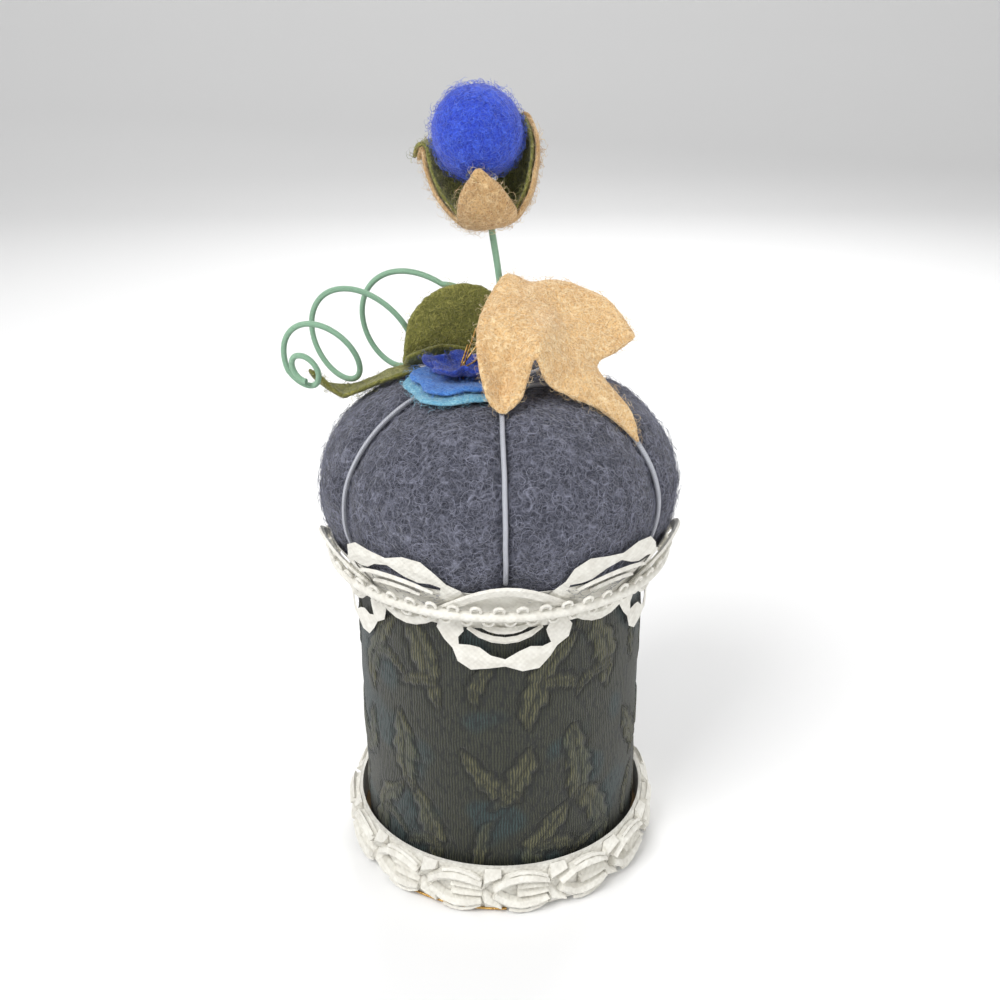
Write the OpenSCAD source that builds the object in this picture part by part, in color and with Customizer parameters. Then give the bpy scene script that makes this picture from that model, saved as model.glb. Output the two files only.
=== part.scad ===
// Tall pincushion: a tufted felt cushion on a brocade covered drum, trimmed with lace and braid,
// with a felt flower, two green leaves, a tan leaf, a wire tendril and a bud on a wire stem.
// Millimetres, +Z up, origin at the centre of the underside. Azimuths run from -Y towards +X.

/* [Drum] */
// Outer radius of the brocade drum
drum_r = 35; // [28:0.5:42]
// Height of the drum's top rim above the table
drum_top = 82; // [70:1:95]
// Thickness of the brocade
brocade_t = 0.8; // [0.5:0.1:1.2]
// Wall of the card tube inside the brocade
tube_wall = 2; // [1.5:0.1:3]
// Thickness of the card lid under the cushion
lid_t = 1.5; // [1:0.1:2.5]
// Angle that the brocade overlaps itself at the back
seam_angle = 9; // [6:1:14]
// Height of the bag of grit that steadies the drum
ballast_h = 11; // [6:1:20]

/* [Base] */
// Thickness of the felt under the base
pad_t = 1.2; // [0.8:0.1:2]
// Thickness of the card base disc
disc_t = 2; // [1.5:0.1:3]
// How far the base disc stands out past the brocade
base_step = 1.5; // [1.2:0.1:3]

/* [Foot braid] */
// Thickness of the woven tape that carries the braid
tape_t = 0.8; // [0.6:0.1:1]
// Height of the foot braid's tape
tape_h = 12.2; // [11:0.2:14]
// Number of padded blue chevrons round the foot
chevron_count = 15; // [12:1:16]
// Height of one padded chevron arm
arm_w = 2.9; // [2.4:0.1:3.2]
// How far the padded arms stand out from the tape
arm_t = 2.7; // [2:0.1:3]
// How far the bronze mesh pads stand out from the tape
mesh_t = 1.9; // [1.4:0.1:2.4]
// Radius of the beaded metal edging
bead_r = 0.4; // [0.3:0.05:0.5]

/* [Cushion] */
// Radius of the cushion at its fullest
cushion_r = 42.6; // [40:0.2:46]
// Half height of the cushion's round profile
cushion_half = 29.5; // [26:0.5:33]
// Thickness of the felt cover
felt_t = 1.6; // [1.2:0.1:2]
// Number of drawn-in segments
segments = 6; // [5:1:8]
// Depth of the crease between two segments
crease_depth = 3; // [1.5:0.25:4]
// Depth of the dimple drawn in by the centre tie
dimple_depth = 7.5; // [5:0.5:9]
// Radius of the thread that draws in a crease
thread_r = 0.65; // [0.5:0.05:0.9]

/* [Neck trim] */
// Radius of the thick white cord
cord_r = 1.1; // [0.9:0.05:1.3]
// Number of waves in the neck trim
waves = 5; // [4:1:6]
// Leaves in one wave of the woven leaf chain
leaves_per_wave = 8; // [6:1:9]
// Rise of the leaf chain above and below its middle
chain_rise = 12.5; // [10:0.5:14]
// Rise of the striped gimp above and below its middle
gimp_rise = 6.3; // [5:0.1:7]
// Half width of one woven leaf
leaf_w = 3.1; // [2.4:0.1:3.6]
// Number of picot loops along each side of the cord
picot_count = 52; // [40:1:60]

/* [Flower and leaves] */
// Thickness of the felt petals and leaves
petal_t = 1.2; // [0.8:0.1:1.5]
// Reach of the lowest, aqua petals
aqua_r = 13.2; // [11:0.2:15]
// Reach of the middle, blue petals
blue_r = 11.6; // [10:0.2:13]
// Reach of the top, navy petals
navy_r = 8.8; // [7:0.2:10]
// Radius of one metallic flower thread
stamen_r = 0.2; // [0.15:0.05:0.3]

/* [Bud] */
// Radius of the blue felt ball
ball_r = 10; // [8:0.5:10]
// Lean of the bud away from upright, to the left
bud_lean = 8.2; // [0:0.2:14]
// Thickness of one layer of the calyx
calyx_t = 1; // [0.7:0.05:1.1]

/* [Wires] */
// Radius of the steel wire in the stem
stem_wire_r = 0.45; // [0.3:0.05:0.5]
// Thickness of the thread wound round the stem wire
stem_wrap_t = 0.25; // [0.15:0.05:0.4]
// Radius of the steel wire in the tendril
tendril_wire_r = 0.35; // [0.25:0.05:0.45]
// Thickness of the thread wound round the tendril wire
tendril_wrap_t = 0.27; // [0.15:0.05:0.35]
// Turns in the tendril
tendril_turns = 3.6; // [2:0.05:3.8]
// How deep the wires are pushed into the cushion
wire_depth = 9; // [6:0.5:12]

/* [Hidden] */

// Clearances
seat = 0.3;
slide = 0.05;

// Heights and radii that follow from the driving sizes
base_top = pad_t + disc_t;
base_r = drum_r + base_step;
tube_r = drum_r - brocade_t;
bore_r = tube_r - tube_wall;
tube_top = drum_top - lid_t;
tape_r = base_r + slide;
tape_z = 0.4;
cushion_foot = drum_top + seat;
cushion_z = drum_top + 16.3;
cord_z = drum_top + 0.4;
cord_ring_r = drum_r + 5.2;
front_turn = 2;
chevron_turn = -2.9;
foot_angle = -asin((cushion_z - cushion_foot) / cushion_half);
dimple_spread = 15;

// General functions
function unit(v) = v / norm(v);
function reject(v, t) = unit(v - t * (v * t));
function polar(a, r, z) = [r * sin(a), -r * cos(a), z];
function mix(a, b, t) = a + (b - a) * t;

// Cubic curve through a list of points, s from 0 to 1 inside span i
function hermite(p, i, s) =
    let (n = len(p) - 1, a = p[max(i - 1, 0)], b = p[i], c = p[i + 1], d = p[min(i + 2, n)])
    0.5 * (2 * b + (c - a) * s + (2 * a - 5 * b + 4 * c - d) * s * s + (3 * b - a - 3 * c + d) * s * s * s);
function spline(p, steps) = concat(
    [for (i = [0 : len(p) - 2]) for (k = [0 : steps - 1]) hermite(p, i, k / steps)], [p[len(p) - 1]]);

// Smooth grid through a net of control points
function column(net, j) = [for (row = net) row[j]];
function patch(net, steps_u, steps_v) =
    let (rows = [for (row = net) spline(row, steps_u)],
        cols = [for (j = [0 : len(rows[0]) - 1]) spline(column(rows, j), steps_v)])
    [for (i = [0 : len(cols[0]) - 1]) [for (c = cols) c[i]]];

// Centre of a ring of points
function middle(ring) = [for (r = ring) 1] * ring / len(ring);

// Closed solid through rings of points, each ring turning from "up" to "out" seen along the path
module skin(rings, closed = false) {
    n = len(rings[0]);
    m = len(rings);
    last = closed ? m : m - 1;
    points = [for (ring = rings) each ring];
    ends = closed ? [] : [middle(rings[0]), middle(rings[m - 1])];
    sides = [for (i = [0 : last - 1]) for (j = [0 : n - 1])
        let (a = i * n + j, b = i * n + (j + 1) % n, c = ((i + 1) % m) * n + j, d = ((i + 1) % m) * n + (j + 1) % n)
        each [[a, d, b], [a, c, d]]];
    caps = closed ? [] : [for (j = [0 : n - 1])
        each [[m * n, j, (j + 1) % n], [m * n + 1, (m - 1) * n + (j + 1) % n, (m - 1) * n + j]]];
    polyhedron(concat(points, ends), concat(sides, caps), convexity = 10);
}

// Tube swept along a path, with its rings carried along without twist
function tangent(p, i) = unit(p[min(i + 1, len(p) - 1)] - p[max(i - 1, 0)]);
function carried(p, start) = [for (i = 0, v = reject(start, tangent(p, 0)); i < len(p);
    i = i + 1, v = i < len(p) ? reject(v, tangent(p, i)) : v) v];
function tube_rings(p, r, sides, start) =
    let (ups = carried(p, start))
    [for (i = [0 : len(p) - 1])
        let (t = tangent(p, i), out = cross(t, ups[i]))
        [for (k = [0 : sides - 1]) p[i] + r * (cos(360 * k / sides) * ups[i] + sin(360 * k / sides) * out)]];
module tube(p, r, sides, start = [0, 1, 0]) skin(tube_rings(p, r, sides, start));

// Felt sheet of even thickness about a grid of points, closed round when it runs in a ring
module sheet(grid, t, closed = false) {
    m = len(grid) - 1;
    n = len(grid[0]) - (closed ? 0 : 1);
    w = len(grid[0]);
    function at(i, j) = grid[i][closed ? (j + w) % w : j];
    function normal(i, j) =
        let (du = closed ? at(i, j + 1) - at(i, j - 1) : grid[i][min(j + 1, n)] - grid[i][max(j - 1, 0)],
            dv = grid[min(i + 1, m)][j] - grid[max(i - 1, 0)][j])
        unit(cross(du, dv));
    top = [for (i = [0 : m]) for (j = [0 : w - 1]) grid[i][j] + normal(i, j) * t / 2];
    bottom = [for (i = [0 : m]) for (j = [0 : w - 1]) grid[i][j] - normal(i, j) * t / 2];
    k = len(top);
    faces = [for (i = [0 : m - 1]) for (j = [0 : n - 1])
        let (a = i * w + j, b = i * w + (j + 1) % w, c = a + w, d = b + w)
        each [[a, c, d], [a, d, b], [k + a, k + d, k + c], [k + a, k + b, k + d]]];
    ends = [for (j = [0 : n - 1])
        let (a = j, b = (j + 1) % w, c = m * w + j, d = m * w + (j + 1) % w)
        each [[a, b, k + b], [a, k + b, k + a], [d, c, k + c], [d, k + c, k + d]]];
    flanks = closed ? [] : [for (i = [0 : m - 1])
        let (a = i * w, b = a + w, c = a + n, d = b + n)
        each [[b, a, k + a], [b, k + a, k + b], [c, d, k + d], [c, k + d, k + c]]];
    polyhedron(concat(top, bottom), concat(faces, ends, flanks), convexity = 10);
}

// Cushion surface: a round profile, drawn in by the creases and by the centre tie
crease_spread = 7;
groove_depth = 2 * thread_r + 0.2;
function off_crease(a) = let (pitch = 360 / segments, off = abs((a - front_turn) % pitch)) min(off, pitch - off);
function crease(a) = exp(-pow(off_crease(a) / crease_spread, 1.3));
function groove(a, r) = groove_depth * exp(-pow(off_crease(a) * PI / 180 * r / (3 * thread_r), 1.3));
function dimple(r) = dimple_depth * exp(-pow(r / dimple_spread, 2));
function cushion_point(a, lift, inset) =
    let (full = cos(lift) * (cushion_r - inset),
        r = max(full - crease_depth * crease(a) * min(1, full / 12), 0.4),
        sunk = lift > 0 ? dimple(full) + groove(a, full) * pow(sin(lift), 2) : 0,
        z = cushion_z + sin(lift) * (cushion_half - inset) - sunk)
    polar(a, r, z);
function cushion_ring(lift, inset, count) =
    [for (k = [0 : count - 1]) cushion_point(front_turn + 360 * k / count, lift, inset)];
cushion_rows = 14;
function cushion_lift(i) = foot_angle + (84 - foot_angle) * i / cushion_rows;
module cushion_body(inset, per_segment, step) {
    low = foot_angle + (inset > 0 ? 3.5 : 0);
    rows = floor(cushion_rows / step);
    skin([for (i = [0 : rows]) cushion_ring(low + (84 - low) * i / rows, inset, segments * per_segment)]);
}
// Height of the cushion's upper surface, between creases
function cushion_height(x, y) =
    let (r = norm([x, y])) cushion_z + cushion_half * sqrt(1 - pow(r / cushion_r, 2)) - dimple(r);
function on_cushion(x, y, up) = [x, y, cushion_height(x, y) + up];

// Neck: the trims lie on this wall, which follows the drum and then the cushion
function cushion_width(z) = cushion_r * sqrt(max(0, 1 - pow((z - cushion_z) / cushion_half, 2)));
blend_low = drum_top - 2;
blend_high = drum_top + 2;
neck_wall = function (z) z < blend_low ? drum_r + seat
    : z > blend_high ? cushion_width(z) + seat
    : mix(drum_r, cushion_width(blend_high), (z - blend_low) / (blend_high - blend_low)) + seat;
foot_wall = function (z) tape_r + tape_t + slide;

// Strip that follows [azimuth, height] points on a wall; the section lists [across, outward] pairs
function on_wall(wall, a, z, out) = polar(a, wall(z) + out, z);
function wall_ring(wall, p, i, section, wide, closed) =
    let (m = len(p), b = closed ? p[(i + m - 1) % m] : p[max(i - 1, 0)], c = closed ? p[(i + 1) % m] : p[min(i + 1, m - 1)],
        turn = c[0] - b[0], arc = (turn < -180 ? turn + 360 : turn) * PI / 180 * wall(p[i][1]),
        way = unit([arc, c[1] - b[1]]), side = [-way[1], way[0]], per_mm = 180 / PI / wall(p[i][1]))
    [for (s = section) on_wall(wall, p[i][0] + side[0] * s[0] * wide * per_mm, p[i][1] + side[1] * s[0] * wide, s[1])];
module strip(wall, p, section, widths = [1], closed = false)
    skin([for (i = [0 : len(p) - 1]) wall_ring(wall, p, i, section, widths[i % len(widths)], closed)], closed);

// Layers of the neck trim, counted outward from the wall
ribbon_t = 0.3;
chain_in = ribbon_t + 0.1;
chain_t = 0.5;
gimp_in = chain_in + chain_t + 0.1;
gimp_t = 1.2;
gimp_half = 1.35;
rib_in = chain_in;
rib_t = 1.3;
rib_half = 0.85;
chain_z = drum_top - 1;
gimp_z = drum_top + 1.4;
wave_angle = 360 / waves;
swing = 0.12;

module base_pad() color("dimgray") cylinder(r = base_r, h = pad_t, $fn = 96);

module base_disc() color("tan") translate([0, 0, pad_t]) cylinder(r = base_r, h = disc_t, $fn = 96);

module core_tube() color("burlywood") translate([0, 0, base_top]) difference() {
    cylinder(r = tube_r, h = tube_top - base_top, $fn = 96);
    translate([0, 0, -1]) cylinder(r = bore_r, h = tube_top - base_top + 2, $fn = 96);
}

module ballast() color("gray") translate([0, 0, base_top])
    cylinder(r = bore_r - seat, h = ballast_h, $fn = 64);

module tube_packing() color("whitesmoke") translate([0, 0, base_top + ballast_h + seat])
    cylinder(r = bore_r - seat, h = tube_top - base_top - ballast_h - 2 * seat, $fn = 64);

module tube_lid() color("burlywood") translate([0, 0, tube_top]) difference() {
    cylinder(r = tube_r, h = lid_t, $fn = 96);
    translate([0, 0, -1]) cylinder(r = knot_r + seat, h = lid_t + 2, $fn = 32);
}

// The brocade wraps the tube once and its end lies over its start at the back
module brocade_sleeve() color([0.12, 0.14, 0.1]) translate([0, 0, base_top]) {
    difference() {
        cylinder(r = drum_r, h = drum_top - base_top, $fn = 96);
        translate([0, 0, -1]) cylinder(r = tube_r, h = drum_top - base_top + 2, $fn = 96);
    }
    rotate([0, 0, 90 - seam_angle / 2]) rotate_extrude(angle = seam_angle, $fn = 96)
        translate([drum_r - slide, 0]) square([brocade_t * 0.6, drum_top - base_top - 12]);
}

// Holes that the tie and the two wires make in the cushion
tie_r = 0.6;
knot_r = 2.2;
top_knot_r = 1;
stem_foot = [1.7, 3.4];
tendril_foot = [-2.2, 10.2];
wire_hole_r = stem_wire_r + stem_wrap_t + slide;
cushion_centre = cushion_z + cushion_half - dimple_depth;
module cushion_holes() {
    translate([0, 0, drum_top - 2]) cylinder(r = tie_r + slide, h = cushion_half * 2, $fn = 24);
    for (p = [stem_foot, tendril_foot])
        translate([p[0], p[1], cushion_height(p[0], p[1]) - wire_depth])
            cylinder(r = wire_hole_r, h = wire_depth + 10, $fn = 24);
}

module cushion_stuffing() color("lightgray") difference() {
    cushion_body(felt_t + slide, 6, 2);
    cushion_holes();
}

module cushion_cover() color([0.2, 0.2, 0.24]) difference() {
    cushion_body(0, 10, 1);
    cushion_body(felt_t, 6, 2);
    cushion_holes();
}

// One thread runs down each crease from the centre to the neck
module crease_threads() color("silver") for (k = [0 : segments - 1]) {
    a = front_turn + k * 360 / segments;
    lifts = [for (i = [2 : cushion_rows]) cushion_lift(i)];
    path = concat([for (lift = lifts) cushion_point(a, lift, -thread_r - 0.15)],
        [polar(a, top_knot_r + thread_r + seat, cushion_centre + thread_r + seat / 2)]);
    tube(path, thread_r, 5, polar(a + 90, 1, 0));
}

// The tie runs through the cushion between two knots and draws in the dimple
module centre_tie() color("silver") {
    translate([0, 0, tube_top]) cylinder(r = tie_r, h = cushion_centre + top_knot_r - tube_top, $fn = 24);
    translate([0, 0, cushion_centre + top_knot_r]) sphere(r = top_knot_r, $fn = 24);
    translate([0, 0, tube_top]) cylinder(r = knot_r, h = lid_t, $fn = 24);
}

// Backing ribbon behind the cord
module neck_ribbon() {
    zs = [for (z = [drum_top - 5 : 1.1 : drum_top + 6.1]) z];
    color([0.6, 0.42, 0.34]) rotate_extrude($fn = 96)
        polygon(concat([for (z = zs) [neck_wall(z), z]],
            [for (i = [len(zs) - 1 : -1 : 0]) [neck_wall(zs[i]) + ribbon_t, zs[i]]]));
}

// Chain of woven leaves in a meander, high between the troughs and swinging back at its middle
module neck_leaf_chain() {
    per_leaf = [0.3, 0.85, 1, 0.55];
    steps = waves * leaves_per_wave * len(per_leaf);
    path = [for (i = [0 : steps - 1])
        let (s = i * waves / steps)
        [front_turn + wave_angle * (s + swing * sin(720 * s)), chain_z - chain_rise * cos(360 * s)]];
    half = chain_t / 2;
    section = [[1, chain_in + half], [0, chain_in + chain_t], [-1, chain_in + half], [0, chain_in]];
    color([0.85, 0.77, 0.68]) strip(neck_wall, path, section, leaf_w * per_leaf, true);
}

// Striped black and white gimp in a low wave, in step with the troughs of the leaf chain
module neck_striped_gimp() {
    steps = waves * 20;
    path = [for (i = [0 : steps - 1])
        [front_turn + 360 * i / steps, gimp_z + gimp_rise * cos(360 * i * waves / steps)]];
    mid = gimp_in + gimp_t / 2;
    section = [[1, mid], [0.6, gimp_in + gimp_t], [-0.6, gimp_in + gimp_t], [-1, mid], [-0.6, gimp_in], [0.6, gimp_in]];
    color("whitesmoke") strip(neck_wall, path, section, [gimp_half], true);
}

// Pairs of ribbed crescents: under the cord inside each trough, over it inside each crest
module neck_ribbed_crescents() {
    section = [[1, rib_in + rib_t / 2], [0, rib_in + rib_t], [-1, rib_in + rib_t / 2], [0, rib_in]];
    // [middle azimuth, middle height, half span in degrees, bend in mm]
    lower = [[0, drum_top - 7.6, 13, 3], [0, drum_top - 5.2, 8, 1.1]];
    upper = [[wave_angle / 2, drum_top + 7.6, 14, -2.2], [wave_angle / 2, drum_top + 5, 9, -1.1]];
    color("antiquewhite") for (w = [0 : waves - 1]) for (c = concat(lower, upper)) {
        path = [for (i = [-3 : 3]) [front_turn + w * wave_angle + c[0] + c[2] * i / 3, c[1] + c[3] * pow(i / 3, 2)]];
        strip(neck_wall, path, section, rib_half * [0.5, 0.9, 1, 1, 1, 0.9, 0.5]);
    }
}

module neck_white_cord() color("white") translate([0, 0, cord_z]) rotate_extrude($fn = 96)
    translate([cord_ring_r, 0]) circle(r = cord_r, $fn = 32);

// Little loops of cord, open towards the white cord, above it and leaning below it
picot_r = 1.05;
picot_wire = 0.34;
picot_lean = 26;
module picot() rotate([90, 0, 0]) rotate([0, 0, -20]) rotate_extrude(angle = 220, $fn = 24)
    translate([picot_r, 0]) circle(r = picot_wire, $fn = 16);
module neck_picots() color("antiquewhite") for (k = [0 : picot_count - 1]) {
    a = 360 * k / picot_count;
    rise = cord_r + seat + picot_wire + picot_r * sin(20);
    rotate([0, 0, a]) translate([0, -cord_ring_r, cord_z]) rotate([picot_lean, 0, 0])
        translate([0, 0, rise]) picot();
    rotate([0, 0, a + 180 / picot_count]) translate([0, -cord_ring_r, cord_z]) rotate([picot_lean, 0, 0])
        mirror([0, 0, 1]) translate([0, 0, rise]) picot();
}

module foot_tape() color([0.25, 0.17, 0.1]) translate([0, 0, tape_z]) difference() {
    cylinder(r = tape_r + tape_t, h = tape_h, $fn = 96);
    translate([0, 0, -1]) cylinder(r = tape_r, h = tape_h + 2, $fn = 96);
}

// Chevron of the foot braid: two arms that part from a tip and bend to run level
chevron_angle = 360 / chevron_count;
chevron_mid = tape_z + tape_h / 2;
arm_tip = 1;
arm_reach = tape_h / 2 - arm_tip - arm_w / 2 - 2 * bead_r + 0.1;
function arm_place(t) = chevron_turn + chevron_angle * (0.03 + 0.8 * t);
function arm_off(t) = arm_tip + arm_reach * sin(150 * pow(t, 0.8));
function arm_half(t) = arm_w / 2 * lookup(t, [[0, 0.72], [0.25, 0.9], [0.5, 1], [0.75, 0.95], [1, 0.5]]);
module foot_blue_chevrons() {
    ts = [0 : 0.25 : 1];
    section = [[1, 0.1], [0.75, arm_t * 0.7], [0, arm_t], [-0.75, arm_t * 0.7], [-1, 0.1], [0, 0]];
    color("steelblue") for (k = [0 : chevron_count - 1]) for (way = [1, -1]) rotate([0, 0, k * chevron_angle])
        strip(foot_wall, [for (t = ts) [arm_place(t), chevron_mid + way * arm_off(t)]], section,
            [for (t = ts) arm_half(t)]);
}

// Bronze mesh pad: it fills one chevron's mouth and parts round the tip of the next one
// Stations are [place along the pitch, inner edge, outer edge], alike above and below the middle
mesh_edge = tape_h / 2 - 0.2;
mesh_stations = concat(
    [for (t = [0.42, 0.66, 0.88, 1]) [arm_place(t), 0.05, arm_off(t) - arm_half(t) - 0.1]],
    [[arm_place(1.06), 0.05, mesh_edge]],
    [for (t = [0.01, 0.12]) [arm_place(1.25 + t), arm_off(t) + arm_half(t) + 0.1, mesh_edge]]);
module foot_bronze_chevrons() color("saddlebrown") for (k = [0 : chevron_count - 1]) for (way = [1, -1])
    rotate([0, 0, k * chevron_angle]) skin([for (m = mesh_stations)
        let (e = [chevron_mid + way * m[1], chevron_mid + way * m[2]])
        [on_wall(foot_wall, m[0], max(e), 0.12), on_wall(foot_wall, m[0], (e[0] + e[1]) / 2, mesh_t),
            on_wall(foot_wall, m[0], min(e), 0.12)]]);

// Beaded metal edging over the upper and under the lower arm of each chevron
module foot_bead_edges() {
    section = [[1, 1.2 + bead_r], [-0.5, 1.2 + 2 * bead_r], [-0.5, 1.2]];
    color("gold") for (k = [0 : chevron_count - 1]) for (way = [1, -1]) rotate([0, 0, k * chevron_angle])
        strip(foot_wall, [for (t = [0.26 : 0.18 : 1])
            [arm_place(t), chevron_mid + way * (arm_off(t) + arm_half(t) + bead_r)]], section, [bead_r]);
}

// Bare gold edge of the tape, seen low at the front left
edge_r = 0.3;
module foot_gold_edge() color("goldenrod") rotate([0, 0, -90 - 36]) translate([0, 0, tape_z + edge_r / 2])
    rotate_extrude(angle = 38, $fn = 96) translate([tape_r + tape_t + slide + edge_r, 0]) circle(r = edge_r, $fn = 16);

// Felt flower: three layers of five petals that share one centre and drape over the cushion
flower_at = [-8, -8.6];
petals = 5;
layer = petal_t + 0.12;
function petal_reach(a, r, notch) = r * (1 - notch * pow(abs(sin(petals * (a - 240) / 2)), 3));
module petal_layer(r, rise, cup, notch) {
    rows = 4;
    count = petals * 6;
    sheet([for (i = [0 : rows]) [for (k = [0 : count - 1])
        let (a = 360 * k / count, t = mix(0.09, 1, i / rows), d = t * petal_reach(a, r, notch * t),
            x = flower_at[0] + d * cos(a), y = flower_at[1] + d * sin(a), z0 = cushion_height(x, y))
        [x, y, max(z0, cushion_height(flower_at[0], flower_at[1])) + rise + cup * pow(t, 2.2)]]], petal_t, true);
}
module flower_aqua_petals() color("skyblue") petal_layer(aqua_r, seat + petal_t / 2, 0, 0.13);
module flower_blue_petals() color("cornflowerblue") petal_layer(blue_r, seat + petal_t / 2 + layer, 0.5, 0.15);
module flower_navy_petals() color("navy") petal_layer(navy_r, seat + petal_t / 2 + 2 * layer + 0.4, 2.4, 0.28);

// Metallic threads that stand in the flower's centre: [lean in x, lean in y, height] of each tip
stamen_tips = [[1.8, 0.6, 5.6], [3, 0.8, 9.4], [3.6, 1.6, 4.8], [4.3, 2.2, 2.6]];
module flower_stamens() color("gold") for (i = [0 : len(stamen_tips) - 1]) {
    tip = stamen_tips[i];
    foot = flower_at + 0.34 * [i % 2 == 0 ? -1 : 1, i < 2 ? -1 : 1];
    z0 = cushion_height(foot[0], foot[1]) + seat;
    bend = [foot[0] + tip[0] * 0.45, foot[1] + tip[1] * 0.4, z0 + 4.4 + tip[2] * 0.5];
    tube(spline([[foot[0], foot[1], z0], [foot[0], foot[1], z0 + 4.4], bend,
        [foot[0] + tip[0], foot[1] + tip[1], z0 + 4.4 + tip[2]]], 2), stamen_r, 4);
}

// Leaves, bud and tendril take their heights from the cushion's crown, above the dimple
crown = cushion_z + cushion_half;
module on_crown() translate([0, 0, crown]) children();

// Upright green leaf behind the flower, from its folded front lip up to its rounded top
module green_leaf_upright() color("darkolivegreen") on_crown() sheet(patch([
    [[-20.4, -3.4, 0.8], [-17, -2.2, 2], [-11.8, 2.6, 2], [-3.8, 5.6, -0.4]],
    [[-21.6, 1, -1.8], [-17, 4.6, -2.4], [-10.5, 6.8, -3.4], [-2.4, 8, -4]],
    [[-21.2, 2, 2.6], [-15.4, 4.2, 2.6], [-9.4, 6.4, 2.6], [-1.8, 7.6, 2.6]],
    [[-20, 3.6, 8], [-14.4, 5.2, 8.4], [-8.4, 6.6, 8.8], [-1.2, 7.2, 8.8]],
    [[-16.4, 5.4, 12.4], [-12, 6.2, 14.4], [-6.8, 6.6, 15.2], [-1.4, 7, 13.4]]], 3, 3), petal_t);

// Lying green leaf: centre line and half widths from its root to its upturned tip
lying_line = [[-18.4, 3, -3.4], [-21.6, 2.2, -4.2], [-26, 2.2, -5.6], [-31, 3.2, -8],
    [-36, 4.2, -9.8], [-40, 3, -7.8], [-42.8, 0.4, -3.6]];
lying_half = [2, 3, 3.9, 4.4, 4, 2.6, 0.7];
module green_leaf_lying() {
    line = spline(lying_line, 2);
    half = spline(lying_half, 2);
    color("darkolivegreen") on_crown() sheet([for (i = [0 : len(line) - 1])
        let (t = tangent(line, i), across = unit(cross(t, [0, 0, 1])))
        [for (k = [-2 : 2]) line[i] + across * half[i] * k / 2 + [0, 0, 0.5 * k * k / 4]]], petal_t);
}

// Tan leaf: a felt sheet folded over its peak, with a tongue, an arch, a side lobe and a long tail
module tan_leaf() color([0.9, 0.75, 0.55]) on_crown() sheet(patch([
    [[3.6, 5.4, -3.4], [5, 6, -3.8], [7, 6.6, -3.6], [9.4, 7, -2.4], [12.4, 7, -0.2], [16, 6, 1.8], [20.5, 3.5, 2.6]],
    [[3.8, 4.8, 8.2], [6, 5.6, 7.6], [8.6, 6.4, 6.8], [12, 7, 7.8], [16.4, 6.8, 8], [21.4, 5, 7.2], [26.6, 1, 4.8]],
    [[2.2, 0, 18.6], [4.2, 1, 17.8], [7.8, 3, 15.8], [12.4, 4, 16.2], [18.6, 3.6, 14.8], [25.2, 1, 11.8], [30.4, -4, 5.6]],
    [[-2.3, -6, 14.2], [1.2, -9, 13.6], [5.3, -8, 13.8], [10.5, -4.4, 12.4], [16, -4, 9.8], [22, -4.4, 7.2], [26.8, -6, 3]],
    [[-4.4, -14, 9.4], [0.5, -16, 7.4], [5.2, -15, 9.2], [9.5, -14, 10.4], [14.3, -10, 6.6], [18.7, -10, 3.8], [21.6, -10.4, 0.2]],
    [[-3.8, -20, 3.7], [1.1, -18, -0.8], [5.3, -20, 4], [8.5, -18.6, 7.6], [13.4, -16, 2.8], [21.3, -15.4, -2.9], [28.9, -14.6, -8.2]],
    [[-2.4, -22.9, -2.2], [0.8, -23.6, -5.4], [5.1, -22, -2.2], [7.8, -20.4, 5.6], [11.5, -20, -0.8], [22.1, -17.2, -7.1], [30.8, -17.7, -14.4]]],
    2, 2), petal_t);

// Bud: its own frame stands at the calyx and leans with the stem
calyx_at = [-1.2, 2, crown + 28.7];
ball_up = 20.4;
module on_bud() translate(calyx_at) rotate([0, -bud_lean, 0]) children();
function bud_axis(h) = calyx_at + h * [-sin(bud_lean), 0, cos(bud_lean)];

module bud_ball() color("royalblue") on_bud() difference() {
    translate([0, 0, ball_up]) sphere(r = ball_r, $fn = 64);
    cylinder(r = stem_r + slide, h = ball_up, $fn = 24);
}

// Sepal of the outer layer: [radius, height, half angle] stations from the stem to the tip
front_sepal = [[1.6, 0.6, 61], [5.2, 1.2, 60], [7.5, 3.2, 57], [9, 6.2, 40], [9.9, 10.2, 24], [9.9, 14.2, 3]];
right_sepal = [[1.6, 0.6, 61], [5.2, 1.2, 60], [7.6, 3.2, 58], [10.6, 8, 50], [12.4, 15.6, 36], [12, 22.4, 4]];
left_sepal = [[1.6, 0.6, 61], [5.2, 1.2, 60], [7.6, 3.2, 58], [10.4, 8, 44], [12.2, 14, 26], [13.2, 18.4, 12], [15.6, 15.8, 4]];
module sepal(a, stations, inward) sheet([for (i = [0 : len(stations) - 1])
    let (s = stations[i], p = stations[max(i - 1, 0)], q = stations[min(i + 1, len(stations) - 1)],
        way = unit([q[0] - p[0], q[1] - p[1]]))
    [for (k = [-3 : 3]) polar(a + s[2] * k / 3, s[0] - way[1] * inward, s[1] + way[0] * inward)]], calyx_t);
module calyx(inward) on_bud() {
    sepal(-4, front_sepal, inward);
    sepal(116, right_sepal, inward);
    sepal(240, left_sepal, inward);
}
module calyx_inner() color("olivedrab") calyx(calyx_t + 0.12);
module calyx_outer() color("tan") calyx(0);

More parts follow.
